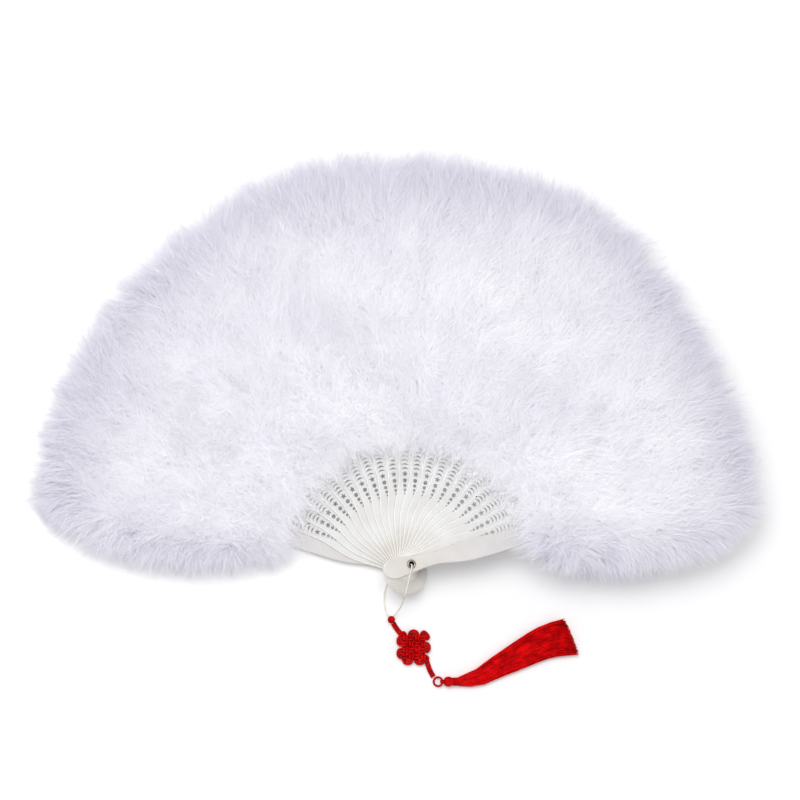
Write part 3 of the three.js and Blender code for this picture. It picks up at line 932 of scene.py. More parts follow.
    def ribbed(self, name: str, plate: Piece, blade: Points, thickness: float,
               material: Material) -> Piece:
        """Adds a raised rib along both long edges of a blade.

        Args:
            name: Name of the finished blank.
            plate: The cut plate.
            blade: Main widths of the blade.
            thickness: Thickness of the plate.
            material: Finish of the ribs, paler than the plate as a painted highlight.

        Returns:
            The plate with its ribs, as one mesh.
        """
        side = self.side(blade)
        ends = smooth_step(0, self.rib_end, np.minimum(side[:, 0] - side[0, 0], side[-1, 0] - side[:, 0]))
        radius = self.rib_radius * (self.rib_end_share + (1 - self.rib_end_share) * ends)[:, None, None]
        turn = turns(self.rib_sides)
        parts = [plate]
        for hand in (1, -1):
            line = np.stack([side[:, 0], hand * (side[:, 1] - self.rib_inset * self.rib_radius),
                             np.full(len(side), thickness + self.rib_rise - self.rib_radius)], axis=1)
            across, upward = carried_sides(line)
            ring = np.cos(turn)[:, None] * across[:, None, :] + np.sin(turn)[:, None] * upward[:, None, :]
            rib = rolled_sheet(f"{name}_rib_{hand}", line[:, None, :] + radius * ring)
            rib.data.materials.append(material)
            parts.append(rib)
        return joined(name, parts)

    def build(self, stack: FanStack, stave_material: Material, rib_material: Material,
              guard_material: Material) -> None:
        """Cuts one stave and one guard and copies them to every place in the stack.

        Args:
            stack: Where the sticks lie.
            stave_material: The finish of the staves.
            rib_material: The finish of the ribs on the staves, paler as a painted highlight.
            guard_material: The finish of the guards.
        """
        blade = [*self.stave_widths, (self.shoulder_at, self.stave_shoulder)]
        plain = [*self.guard_widths, (self.shoulder_at, self.guard_shoulder)]
        pivot = self.ring(0.0, self.pivot_radius, self.pivot_sides)
        pierced = [self.outline(blade, self.stave_tongue), pivot, *self.ornament()]
        stave = self.cut_blank("stave_blank", pierced, stack.stave_thickness, self.stave_edge)
        stave.data.materials.append(stave_material)
        stave = self.ribbed("stave_ribbed", stave, blade, stack.stave_thickness, rib_material)
        guard = self.cut_blank("guard_blank", [self.outline(plain, self.guard_tongue), pivot],
                               stack.guard_thickness, self.guard_edge)
        for stick in stack.sticks():
            blank = guard if stick.is_guard else stave
            material = guard_material if stick.is_guard else stave_material
            piece = blank.copy()
            piece.data = blank.data.copy()
            piece.name = f"{stick.node}_blade"
            place = Matrix.Translation((stick.pivot[0], stick.pivot[1], stick.bottom))
            piece.data.transform(place @ Matrix.Rotation(stick.angle, 4, "Z"))
            bpy.context.collection.objects.link(piece)
            dress(piece, stick.body, Slot.STICK, material, stick.node)
        for blank in (stave, guard):
            bpy.data.objects.remove(blank)


@dataclass
class PivotEyelet:
    """Hollow metal eyelet that holds the stack, rolled over at both ends."""

    bore_radius: float = 1.5 * MM
    wall: float = 0.4 * MM
    flange_radius: float = 2.8 * MM
    flange: float = 0.6 * MM
    roll_steps: int = 12
    turns: int = 56

    def roll(self, end: float, hand: int) -> list[Span]:
        """Section of a rolled end.

        Args:
            end: Height of the end.
            hand: 1 for the upper end, -1 for the lower.

        Returns:
            (radius, height) points over the roll.
        """
        centre = (self.bore_radius + self.flange_radius) / 2
        half = (self.flange_radius - self.bore_radius) / 2
        return [(centre + hand * half * math.cos(turn),
                 end - hand * self.flange + hand * self.flange * math.sin(turn))
                for turn in np.linspace(0, math.pi, self.roll_steps + 1)]

    def build(self, stack: FanStack, material: Material) -> None:
        """Spins the closed section of the eyelet's wall about the pivot.

        Args:
            stack: The stack that the eyelet holds.
            material: Its finish.
        """
        sticks = stack.sticks()
        foot = sticks[0].bottom - stack.stack_gap - self.flange
        head = sticks[-1].top + stack.stack_gap + self.flange
        outer = self.bore_radius + self.wall
        wall = [(outer, foot + self.flange), (outer, head - self.flange)]
        section = [*self.roll(foot, -1), *wall, *self.roll(head, 1)]
        x, y = stack.pivot
        deselect_all()
        bpy.ops.mesh.primitive_circle_add(vertices=len(section), radius=self.bore_radius)
        eyelet = bpy.context.object
        eyelet.name = "pivot_eyelet_ring"
        for vertex, (radius, height) in zip(eyelet.data.vertices, section):
            vertex.co = (x + radius, y, height)
        bpy.ops.object.mode_set(mode="EDIT")
        bpy.ops.mesh.select_all(action="SELECT")
        bpy.ops.mesh.spin(steps=self.turns, angle=FULL_TURN, center=(x, y, 0), axis=UP)
        bpy.ops.object.mode_set(mode="OBJECT")
        weld(eyelet, merge=MERGED_CUT)
        bpy.ops.object.shade_smooth_by_angle(angle=METAL_SMOOTH)
        dress(eyelet, BASE_BODY, Slot.NICKEL, material, "pivot_eyelet")


@dataclass
class RibbonLinks:
    """Spacing ribbon: a strip from each stick to the next, sagging a little between them, built as it lies in
    the open fan.
    """

    inner: float = 81 * MM
    width: float = 4 * MM
    thickness: float = 0.25 * MM
    seat: float = 0.1 * MM
    slack: float = 0.5 * MM
    pleated: float = 0.14
    steps: int = 8
    rows: int = 2

    def build(self, stack: FanStack, material: Material) -> None:
        """Makes one link for each pair of neighbouring sticks.

        Args:
            stack: The sticks that the ribbon joins.
            material: Its finish.
        """
        sticks = stack.sticks()
        share = np.linspace(0, 1, self.steps + 1)
        for stick, following in zip(sticks, sticks[1:]):
            deselect_all()
            bpy.ops.mesh.primitive_grid_add(x_subdivisions=self.steps, y_subdivisions=self.rows)
            link = bpy.context.object
            link.name = f"ribbon_link_{stick.index:02d}"
            turn = np.linspace(stick.angle, following.angle, self.steps + 1)
            rise = stick.top + self.seat + (following.top - stick.top) * share
            rise = rise - self.slack * np.sin(math.pi * share)
            rows = []
            for reach in np.linspace(self.inner, self.inner + self.width, self.rows + 1):
                rows.append(np.stack([stick.pivot[0] + reach * np.cos(turn),
                                      stick.pivot[1] + reach * np.sin(turn), rise], axis=1))
            link.data.vertices.foreach_set("co", np.array(rows, np.float32).ravel())
            link.data.update()
            wall = link.modifiers.new("thickness", "SOLIDIFY")
            wall.thickness = self.thickness
            wall.offset = 1.0
            bpy.ops.object.modifier_apply(modifier=wall.name)
            weld(link)
            dress(link, stick.body, Slot.RIBBON, material, "spacing_ribbon")
            middle = stick.placed(np.array([self.inner + self.width / 2, 0.0, stick.top]))
            tuple(stick.turned(np.array([0.0, 1.0, 0.0])))
            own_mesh(link)


# Plumes


@dataclass(frozen=True)
class PlumeForm:
    """Outer form of one stick's plume, in the stick's own axes."""

    stick: Stick
    pitch: float
    reach: float
    fringe_shift: float
    inner: float = 86.5 * MM
    lip_reach: float = 20 * MM
    lip_rise: float = 3.2 * MM
    lip_margin: float = 1 * MM
    mouth_drop: float = 1.4 * MM
    crown: float = 18 * MM
    crown_shares: tuple[float, ...] = (0.27, 0.6, 0.9, 1.0, 0.8, 0.45, 0.15)
    spread: float = 22 * MM
    tip_round: float = 30 * MM
    tip_lift: float = 2 * MM
    lobe_offset: float = 41 * MM
    lobe_centre: float = 152 * MM
    lobe_least: float = 4 * MM
    lobe_opening: float = 0.35
    lobe_inner_power: float = 2.4
    lobe_outer_power: float = 3.0
    slope_step: float = 1 * MM
    steepest: float = 2.0
    rim_depth: float = 46 * MM
    # How far in from the outline the painted rim shade reaches
    painted_shade_depth: float = 66 * MM
    side_share: float = 0.55

    @property
    def start(self) -> float:
        """Where the lip of down over the blades begins."""
        return self.inner - self.lip_reach

    @property
    def open_side(self) -> float:
        """1 for a lobe on the left, -1 for one on the right, 0 for a plume between neighbours."""
        return {StickRole.REAR_GUARD: 1.0, StickRole.FRONT_GUARD: -1.0}.get(self.stick.role, 0.0)

    def half_widths(self, along: Array, inset: float = 0.0) -> tuple[Array, Array]:
        """Half widths of the plume left and right of its stick.

        Args:
            along: Distances from the pivot.
            inset: How far an open side is drawn in.

        Returns:
            The widths to the left and to the right, at each distance.
        """
        sector = along * math.tan(self.pitch / 2)
        beyond = along > self.lobe_centre
        outward = (along - self.lobe_centre) / (self.reach - self.lobe_centre)
        inward = (self.lobe_centre - along) / self.lobe_centre
        share = np.clip(np.where(beyond, outward, inward), 0, 1)
        power = np.where(beyond, self.lobe_outer_power, self.lobe_inner_power)
        swell = self.lobe_offset * np.maximum(0, 1 - share ** power) ** (1 / power)
        opening = np.clip((along - self.start) / (self.lobe_centre - self.start), 0, 1) ** self.lobe_opening
        lobe = np.maximum(np.maximum(sector, swell * opening) - inset, self.lobe_least)
        left = lobe if self.open_side > 0 else sector
        right = lobe if self.open_side < 0 else sector
        return left, right

    def open_width(self, along: Array) -> Array:
        """Returns the half width on the open side, or the larger one where no side is open."""
        return np.maximum(*self.half_widths(along))

    def slope(self, along: Array) -> Array:
        """Returns how fast the open side widens along the stick, kept within bounds."""
        change = self.open_width(along + self.slope_step) - self.open_width(along - self.slope_step)
        return np.clip(change / (2 * self.slope_step), -self.steepest, self.steepest)

    def heights(self, along: Array) -> tuple[Array, Array]:
        """Heights of the plume over the table.

        Args:
            along: Distances from the pivot.

        Returns:
            The underside and the crown, at each distance.
        """
        full = self.inner + self.spread
        ends = [self.reach - self.tip_round, self.reach - self.tip_round / 4, self.reach]
        lip = self.stick.top + self.lip_rise
        mouth = self.stick.bottom - self.mouth_drop
        tip = self.stick.bottom / 2 + self.tip_lift
        under = np.interp(along, [self.start, self.inner - self.lip_margin, self.inner, full, *ends],
                          [lip, lip, mouth, 0, 0, self.tip_lift, tip])
        share = np.interp(along, [self.start, self.inner, full, (full + self.reach) / 2, *ends],
                          self.crown_shares)
        return under, self.stick.top + share * self.crown

    def outward(self, along: Array, across: Array) -> Array:
        """Returns how near a place is to the open side's outline, from 0 at the stick to 1."""
        return np.clip(self.open_side * across / self.open_width(along), 0, 1)

    def rim(self, along: Array, across: Array, depth: float) -> Array:
        """How near places are to the fan's outline.

        Args:
            along: Distances from the pivot.
            across: Places to the left of the stick.
            depth: How far inside the outline the rim begins.

        Returns:
            0 at that depth or further in, up to 1 at the outline.
        """
        tip = smooth_step(self.reach - depth, self.reach, along)
        gap = self.open_width(along) - self.open_side * across
        side = smooth_step(-depth * self.side_share, 0.0, -gap) * abs(self.open_side)
        return np.maximum(tip, side)


@dataclass(frozen=True)
class CoatCut:
    """How one layer of barbs is grown: where, how dense, how long and how it lies.

    The margins are kept from both ends of the coat's stretch. The roots lie at depths under the plume's
    surface, or for a coat of the outline at shares of its height. The lift is a mean and its scatter.
    """

    coat: Coat
    margins: Span
    tufts_a_cm2: float
    barbs_a_tuft: int
    length: Span
    width: float
    segments: int
    spread: float
    curl: float
    wave: float
    roots: Span
    lift: Span

    @property
    def on_open_side(self) -> bool:
        """Whether the coat grows only along the open side of a guard's plume."""
        return self.coat in (Coat.EDGE, Coat.SIDE)

    def stretch(self, form: PlumeForm) -> Span:
        """Where along its stick a coat begins and ends.

        Args:
            form: The plume's form.

        Returns:
            The two distances from the pivot.
        """
        near, far = self.margins
        if self.coat is Coat.FRINGE:
            return form.reach - near + form.fringe_shift, form.reach - far + form.fringe_shift
        if self.coat is Coat.LIP:
            return form.start + near, form.inner + far
        low = form.inner if self.coat is Coat.UNDERSIDE else form.start
        return low + near, form.reach - far


@dataclass(frozen=True)
class Barbs:
    """One coat of grown barbs: their points, places along a barb and tone."""

    points: Array
    share: Array
    tone: Array


def mesh_of_barbs(name: str, coats: Sequence[Barbs]) -> Piece:
    """Makes one piece of all barbs of a plume: strips of four-cornered faces that end in a point.

    Args:
        name: Name of the new piece.
        coats: The coats of barbs.

    Returns:
        The new mesh object, with its own map of place along a barb and tone.
    """
    points, values, faces, held = [], [], [], 0
    for coat in coats:
        count, each = coat.points.shape[:2]
        base = held + (np.arange(count) * each)[:, None]
        strips = [base + np.array([k, k + 1, k + 3, k + 2]) for k in range(0, each - 3, 2)]
        faces += [*strips, base + np.array([each - 3, each - 2, each - 1])]
        points.append(coat.points.reshape(-1, 3))
        pairs = np.broadcast_arrays(coat.share[None, :], coat.tone[:, None])
        values.append(np.stack(pairs, axis=-1).reshape(-1, 2))
        held += count * each
    barbs = mesh_of(name, np.vstack(points), faces)
    set_map(barbs, np.vstack(values))
    return barbs


@dataclass
class DownPlumes:
    """Plumes of down: a soft core on every stick's tongue, covered by tufts of fine barbs."""

    # Outline of the whole fan, with its trim in degrees round the pivot
    reach_middle: float = 244 * MM
    reach_side: float = 228 * MM
    bulge: float = 10 * MM
    bulge_at: float = 0.7
    bulge_spread: float = 0.09
    fringe_shift: float = 4.5 * MM
    left_trim: float = 4 * MM
    trim_from: Span = (105.0, 125.0)
    trim_until: Span = (140.0, 155.0)
    trim_fade: float = 0.7

    # Slow waves that part the down into locks
    wavelengths: tuple[float, ...] = (0.115, 0.074, 0.052, 0.033, 0.024)
    wave_scale: float = 2.2
    swirl_seed: int = 3
    ridge_seed: int = 8
    cloud_seed: int = 14
    ridge: float = 1.3 * MM
    swirl: float = 0.42

    # Places of the tufts
    seed: int = 20
    grid_steps: int = 80
    quick_share: float = 0.12
    share_scatter: float = 0.3
    lobe_inset: float = 9 * MM
    edge_band: float = 12 * MM
    side_round: Span = (3, 0.45)
    least_height: float = 1 * MM
    least_depth: float = 1e-4

    # Lay of the tufts
    lean_over: Span = (66 * MM, 140 * MM)
    lean: Span = (0.6, 1.0)
    flat_tip: Span = (45 * MM, 12 * MM)
    flat_share: float = 0.75
    outline_rise: float = 0.9
    lip_lean: Span = (-0.75, 0.35)
    lip_over: Span = (76 * MM, 98 * MM)
    lip_turn: float = 0.9
    turn_aside: Span = (0.25, 0.9)
    aside_calm: float = 0.5
    side_stray: float = 0.7
    stray: float = 0.5
    rim_calm: float = 0.3

    # Barbs, with the scatter of a root in millimetres
    root_scatter_mm: float = 0.6
    length_scatter: Span = (0.6, 1.08)
    width_scatter: Span = (0.7, 1.2)
    rim_gather: float = 0.6
    droop: float = 0.14
    twist: float = 0.35
    wave_turn: float = 6.5
    taper: float = 0.6
    coats: tuple[CoatCut, ...] = (
        CoatCut(Coat.COVER, margins=(16 * MM, 10 * MM), tufts_a_cm2=50.0, barbs_a_tuft=7,
                length=(13 * MM, 22 * MM), width=0.21 * MM, segments=2, spread=0.36, curl=0.36, wave=0.0,
                roots=(3 * MM, 9 * MM), lift=(0.22, 0.14)),
        CoatCut(Coat.FRINGE, margins=(20 * MM, 3 * MM), tufts_a_cm2=40.0, barbs_a_tuft=5,
                length=(11 * MM, 25 * MM), width=0.22 * MM, segments=5, spread=0.09, curl=0.2, wave=0.05,
                roots=(0.04, 0.92), lift=(-0.35, 0.15)),
        CoatCut(Coat.EDGE, margins=(20 * MM, 8 * MM), tufts_a_cm2=75.0, barbs_a_tuft=5,
                length=(11 * MM, 21 * MM), width=0.20 * MM, segments=5, spread=0.09, curl=0.18, wave=0.05,
                roots=(0.04, 0.92), lift=(-0.35, 0.15)),
        CoatCut(Coat.SIDE, margins=(24 * MM, 14 * MM), tufts_a_cm2=60.0, barbs_a_tuft=8,
                length=(9 * MM, 15 * MM), width=0.24 * MM, segments=2, spread=0.30, curl=0.3, wave=0.0,
                roots=(0.05, 0.85), lift=(-0.25, 0.5)),
        CoatCut(Coat.LIP, margins=(5 * MM, 14 * MM), tufts_a_cm2=20.0, barbs_a_tuft=9,
                length=(10 * MM, 20 * MM), width=0.20 * MM, segments=3, spread=0.30, curl=0.4, wave=0.0,
                roots=(0.5 * MM, 4 * MM), lift=(0.3, 0.25)),
        CoatCut(Coat.UNDERSIDE, margins=(8 * MM, 13 * MM), tufts_a_cm2=7.0, barbs_a_tuft=10,
                length=(13 * MM, 20 * MM), width=0.30 * MM, segments=2, spread=0.30, curl=0.3, wave=0.0,
                roots=(1 * MM, 4 * MM), lift=(-0.25, 0.1)),
    )

    # How far barbs may stand out, and how much of the rest is pressed back
    beyond_tip: float = 8 * MM
    beyond_side: float = 6 * MM
    beyond_top: float = 4 * MM
    side_end: float = 2 * MM
    press_plan: float = 0.75
    press_top: float = 0.8
    blade_gap: float = 1.6 * MM
    table_gap: float = 0.4 * MM
    table_scatter: float = 0.8 * MM

    # Tone of the barbs: random tone, and painted shade that darkens them towards the rim
    tone: float = 0.8
    cloud_tone: float = 0.1
    tuft_tone: float = 0.1
    barb_tone: float = 0.1
    painted_rim_shade: float = 0.85
    painted_rim_shade_power: float = 1.6

    # Core
    core_margins: Span = (8 * MM, 19 * MM)
    core_rows: int = 22
    core_sides: int = 20
    core_inset: float = 8 * MM
    core_lobe_insets: float = 2.1
    core_lift: float = 1.2 * MM
    core_least: float = 2 * MM
    core_blunt_open: float = 0.8
    core_blunt: float = 0.45
    core_fill: float = 0.985
    # The core's map: partly along a barb, and a middle tone, darker than the barbs as painted shade of the
    # down's depth
    core_painted_shade_map: Span = (0.35, 0.5)

    def form(self, stick: Stick, last: int, pitch: float) -> PlumeForm:
        """The form of a stick's plume: longest in the middle, with a fuller place right of it.

        Args:
            stick: The stick that carries the plume.
            last: Index of the front guard.
            pitch: Angle between neighbouring sticks.

        Returns:
            The plume's form.
        """
        from_middle = abs(stick.index - last / 2) / (last / 2)
        bulge = self.bulge * math.exp(-((stick.index / last - self.bulge_at) / self.bulge_spread) ** 2)
        reach = self.reach_middle - (self.reach_middle - self.reach_side) * from_middle ** 2 + bulge
        degrees = math.degrees(stick.angle)
        fading = 1 - self.trim_fade * smooth_step(*self.trim_until, degrees)
        trimmed = float(smooth_step(*self.trim_from, degrees) * fading)
        shift = self.fringe_shift * (1 - from_middle ** 2) ** 2 - self.left_trim * trimmed
        return PlumeForm(stick, pitch, reach, shift)

    def drift(self, places: Array, seed: int) -> Array:
        """Slow waves over the fan, about -1 to 1, that part the down into locks.

        Args:
            places: Points in the frame.
            seed: Which set of waves.

        Returns:
            The waves' height at each point.
        """
        rng = np.random.default_rng(seed)
        total = np.zeros(len(places))
        for wavelength in self.wavelengths:
            heading, phase = rng.uniform(0, FULL_TURN, 2)
            run = places[:, 0] * math.cos(heading) + places[:, 1] * math.sin(heading)
            total += np.sin(run * FULL_TURN / wavelength + phase)
        return total / self.wave_scale

    def tuft_places(self, form: PlumeForm, cut: CoatCut,
                    rng: np.random.Generator) -> tuple[Array, Array]:
        """Spreads the roots of a coat's tufts evenly over the plan of a plume.

        Args:
            form: The plume's form.
            cut: The coat.
            rng: Source of the scatter.

        Returns:
            Distances from the pivot and places to the left of the stick.
        """
        low, high = cut.stretch(form)
        grid = np.linspace(low, high, self.grid_steps)
        left, right = form.half_widths(grid, self.lobe_inset)
        band = left + right
        if cut.on_open_side:
            band = np.full_like(grid, self.edge_band * abs(form.open_side))
        elif cut.coat is Coat.LIP:
            band = band * smooth_step(form.start, form.inner, grid)
        thinned = 1.0
        count = round(float(band.mean()) * (high - low) * CM2_A_M2 * cut.tufts_a_cm2 * thinned)
        weight = np.cumsum(band)
        order = np.arange(count)
        along = np.interp((order + rng.uniform(0, 1, count)) / max(count, 1) * weight[-1], weight, grid)
        left, right = form.half_widths(along, self.lobe_inset)
        share = (order * GOLDEN_SHARE + rng.uniform(0, self.share_scatter, count)) % 1.0
        across = -right + (left + right) * share
        if cut.on_open_side:
            across = form.open_side * np.maximum(np.maximum(left, right) - self.edge_band * share, 0)
        return along, across

    def tuft_lay(self, form: PlumeForm, cut: CoatCut, along: Array, across: Array,
                 rng: np.random.Generator) -> tuple[Array, Array]:
        """Roots and directions of a coat's tufts, in the stick's own axes.

        Args:
            form: The plume's form.
            cut: The coat.
            along: Distances of the roots from the pivot.
            across: Places of the roots to the left of the stick.
            rng: Source of the scatter.

        Returns:
            The roots and the unit directions, shape (count, 3) each.
        """
        count = len(along)
        mean, scatter = cut.lift
        under, crown = form.heights(along)
        outward = form.outward(along, across)
        top = under + (crown - under) * (1 - outward ** self.side_round[0]) ** self.side_round[1]
        world = form.stick.placed(np.stack([along, across, top], axis=1))
        swirl = self.drift(world, self.swirl_seed)
        top = top + self.ridge * self.drift(world, self.ridge_seed)
        height = np.maximum(top - rng.uniform(*cut.roots, count), under + self.least_height)
        leaning = smooth_step(*self.lean_over, along)
        radial = np.where(rng.uniform(0, 1, count) < leaning, 1.0, -1.0) * rng.uniform(*self.lean, count)
        lift = mean + scatter * rng.normal(size=count)
        near_tip = smooth_step(form.reach - self.flat_tip[0], form.reach - self.flat_tip[1], along)
        lift = lift * (1 - self.flat_share * near_tip)
        if cut.coat in (Coat.FRINGE, Coat.EDGE, Coat.SIDE):
            height = under + (top - under) * rng.uniform(*cut.roots, count)
        elif cut.coat is Coat.LIP:
            height = top - rng.uniform(*cut.roots, count)
            radial = self.lip_lean[0] + self.lip_lean[1] * rng.normal(size=count)
            radial = radial + self.lip_turn * smooth_step(*self.lip_over, along)
        elif cut.coat is Coat.UNDERSIDE:
            height = under + rng.uniform(*cut.roots, count)
            radial = np.ones(count)
        if cut.coat in (Coat.FRINGE, Coat.EDGE):
            mean = self.outline_rise * (height - under) / np.maximum(crown - under, self.least_depth) + mean
        if cut.coat is not Coat.COVER:
            lift = mean + scatter * rng.normal(size=count)
        aside = smooth_step(*self.turn_aside, outward)
        flat_along = (1 - aside) * radial - aside * form.slope(along)
        if cut.coat is Coat.SIDE:
            flat_along = flat_along + self.side_stray * rng.normal(size=count)
        stray = self.stray - self.rim_calm * form.rim(along, across, form.rim_depth)
        loose = (self.swirl * swirl + stray * rng.normal(size=count)) * (1 - self.aside_calm * aside)
        lay = np.stack([flat_along, aside * form.open_side + loose, lift], axis=1)
        return np.stack([along, across, height], axis=1), unit(lay)

    def held_in(self, form: PlumeForm, points: Array, low: Array) -> Array:
        """Presses barbs that stand out too far back to the plume's outline.

        Args:
            form: The plume's form.
            points: Points of the barbs in the stick's own axes, shape (barbs, points, 3).
            low: Least height of each barb.

        Returns:
            The pressed points.
        """
        along, across, height = points[..., 0], points[..., 1], points[..., 2]
        beyond = np.maximum(0, along - form.reach - form.fringe_shift - self.beyond_tip)
        along = along - self.press_plan * beyond
        width = form.open_width(np.minimum(along, form.reach - self.side_end)) + self.beyond_side
        over = np.maximum(0, form.open_side * across - width)
        across = across - self.press_plan * form.open_side * over
        height = height - self.press_top * np.maximum(0, height - form.heights(along)[1] - self.beyond_top)
        floor = np.where(along < form.inner, form.stick.top + self.blade_gap, low[:, None])
        return np.stack([along, across, np.maximum(height, floor)], axis=-1)

    def grow(self, form: PlumeForm, roots: Array, lay: Array, cut: CoatCut,
             rng: np.random.Generator) -> Barbs:
        """Grows barbs from tufts: narrow tapering strips that fan out and curl.

        Args:
            form: The plume's form.
            roots: Roots of the tufts in the stick's own axes.
            lay: Directions of the tufts.
            cut: The coat.
            rng: Source of the scatter.

        Returns:
            The barbs in their place in the frame.
        """
        each = cut.barbs_a_tuft
        tufts = len(roots)
        count = tufts * each
        rim = np.repeat(form.rim(roots[:, 0], roots[:, 1], form.rim_depth), each)
        # Painted shade: how near each tuft lies to the outline, where its barbs are darkened
        shaded = np.repeat(form.rim(roots[:, 0], roots[:, 1], form.painted_shade_depth), each)
        root = np.repeat(roots, each, axis=0) + rng.normal(size=(count, 3)) * self.root_scatter_mm * MM
        length = np.repeat(rng.uniform(*cut.length, tufts), each) * rng.uniform(*self.length_scatter, count)
        spread = cut.spread * (1 - self.rim_gather * rim)[:, None]
        heading = unit(np.repeat(lay, each, axis=0) + rng.normal(size=(count, 3)) * spread)
        curl = np.repeat(rng.normal(size=(tufts, 3)) * cut.curl, each, axis=0)
        curl = curl + rng.normal(size=(count, 3)) * spread + np.array([0, 0, -self.droop])
        phase = np.repeat(rng.uniform(0, FULL_TURN, tufts), each)
        upward = np.array([0, 0, -1.0 if cut.coat is Coat.UNDERSIDE else 1.0])
        flat = unit(np.cross(heading, upward + rng.normal(size=(count, 3)) * self.twist))
        half = 0.5 * cut.width * rng.uniform(*self.width_scatter, count)
        levels = np.linspace(0, 1, cut.segments + 1)
        columns = []
        for level in levels:
            sway = cut.wave * level * np.sin(phase + self.wave_turn * level)
            bent = heading * level + curl * 0.5 * level ** 2 + flat * sway[:, None]
            spine = root + length[:, None] * bent
            wide = (half * (1 - level) ** self.taper)[:, None] * flat
            columns += [spine - wide, spine + wide] if level < 1 else [spine]
        low = self.table_gap + rng.uniform(0, self.table_scatter, count)
        points = self.held_in(form, np.stack(columns, axis=1), low)
        share = np.concatenate([np.repeat(levels[:-1], 2), [1.0]])
        cloud = self.drift(form.stick.placed(root), self.cloud_seed)
        tufted = np.repeat(rng.uniform(0, 1, tufts), each)
        tone = self.tone + self.cloud_tone * cloud + self.tuft_tone * tufted
        tone = tone + rng.uniform(0, self.barb_tone, count)
        # Painted shade: the tone darkens towards the fan's outline
        tone = np.clip(tone, 0, 1) * (1 - self.painted_rim_shade * shaded ** self.painted_rim_shade_power)
        return Barbs(form.stick.placed(points), share, tone)

    def core(self, form: PlumeForm) -> Piece:
        """Soft core under the barbs, drawn in from the plume's outer surface.

        Args:
            form: The plume's form.

        Returns:
            The core as a closed mesh.
        """
        near, far = self.core_margins
        along = np.linspace(form.inner + near, form.reach - far, self.core_rows)
        left, right = form.half_widths(along, self.core_lobe_insets * self.lobe_inset)
        under, crown = form.heights(along)
        low = np.maximum(under + self.core_lift, self.core_lift)
        high = np.maximum(crown - self.core_inset, low + self.core_least)
        turn = turns(self.core_sides)
        across, upward = np.cos(turn), np.sin(turn)
        bluntness = np.where(across * form.open_side > 0, self.core_blunt_open, self.core_blunt)
        across = np.sign(across) * np.abs(across) ** bluntness
        upward = np.sign(upward) * np.abs(upward) ** bluntness
        side = np.where(across > 0, left[:, None] * across, right[:, None] * across) * self.core_fill
        rise = (low + high)[:, None] / 2 + (high - low)[:, None] / 2 * upward
        rings = np.stack([np.repeat(along[:, None], self.core_sides, axis=1), side, rise], axis=2)
        body = rolled_sheet(f"{form.stick.plume_node}_core", form.stick.placed(rings))
        # Painted shade: the core takes a middle tone, darker than the barbs over it
        set_map(body, np.tile(self.core_painted_shade_map, (len(body.data.vertices), 1)))
        return body

    def build(self, stack: FanStack, material: Material) -> None:
        """Grows every stick's plume.

        Args:
            stack: The sticks.
            material: The finish of the down.
        """
        sticks = stack.sticks()
        for stick in sticks:
            rng = np.random.default_rng(self.seed + stick.index)
            form = self.form(stick, sticks[-1].index, stack.pitch)
            coats = []
            for cut in self.coats:
                along, across = self.tuft_places(form, cut, rng)
                roots, lay = self.tuft_lay(form, cut, along, across, rng)
                coats.append(self.grow(form, roots, lay, cut, rng))
            barbs = mesh_of_barbs(f"{stick.plume_node}_barbs", coats)
            plume = joined(f"{stick.plume_node}_down", [barbs, self.core(form)])
            dress(plume, stick.body, Slot.DOWN, material, stick.plume_node)


# Cords and tassel


@dataclass(frozen=True)
class LaidCord:
    """A cord of plies that turn about each other once in the length of its lay.

    The groove between plies is a share of the cord's outer radius.
    """

    radius: float
    plies: int
    lay: float
    groove: float = 0.2
    points_a_ply: int = 4

    def along(self, name: str, route: Array) -> Piece:
        """Lays the cord along a route.

        Args:
            name: Name of the new piece.
            route: Centre line of the cord.

        Returns:
            The cord as a closed mesh.
        """
        side, other = carried_sides(route)
        turn = turns(self.plies * self.points_a_ply)
        swell = self.radius * (1 - self.groove * (1 - np.abs(np.cos(self.plies * turn / 2))))
        angle = turn[None, :] + (run_along(route) / self.lay * FULL_TURN)[:, None]
        across = np.cos(angle)[..., None] * side[:, None, :] + np.sin(angle)[..., None] * other[:, None, :]
        return rolled_sheet(name, route[:, None, :] + across * swell[None, :, None], CORD_SMOOTH)


@dataclass
class HungPart:
    """A part that hangs on the eyelet, with its routes in millimetres from the pivot on the table."""

    pivot: Span

    def around(self, points: Points) -> Array:
        """Returns points given in millimetres from the pivot on the table, in the frame's metres."""
        return np.array(points, float) * MM + np.array([*self.pivot, 0.0])


@dataclass
class HangingLoop(HungPart):
    """White cord from the bead over the front guard, down the eyelet and back to the bead."""

    cord: LaidCord = LaidCord(radius=0.5 * MM, plies=3, lay=2.6 * MM)
    step: float = 0.3 * MM
    route_mm: tuple[Place, ...] = (
        (-3.6, -29.9, 2.9), (-2.2, -27.8, 5.2), (-1.3, -25.2, 10.0), (-1.8, -22.4, 17.5),
        (-3.4, -19.6, 26.5), (-4.05, -18.45, 31.2), (-3.3, -15.1, 31.8), (-1.9, -9.0, 31.9),
        (-0.8, -4.0, 32.2), (-0.3, -2.0, 32.4), (0.0, -0.6, 31.5), (0.0, 0.0, 28.3),
        (0.0, 0.0, 15.25), (-0.1, -0.1, 6.0), (-0.5, -0.8, 2.2), (-1.9, -2.8, 1.1),
        (-5.0, -7.4, 0.7), (-7.6, -12.0, 0.7), (-8.7, -18.0, 0.7), (-8.6, -24.5, 0.9),
        (-7.6, -28.6, 1.4), (-6.3, -30.2, 1.8),
    )

    def build(self, bead: Piece, material: Material) -> None:
        """Args:
            bead: The piece that the cord is tied into; not used.
            material: Its finish.
        """
        route = smooth_route(self.around(self.route_mm), self.step)
        cord = self.cord.along("hanging_loop_cord", route)
        dress(cord, BASE_BODY, Slot.LOOP, material, "hanging_loop")


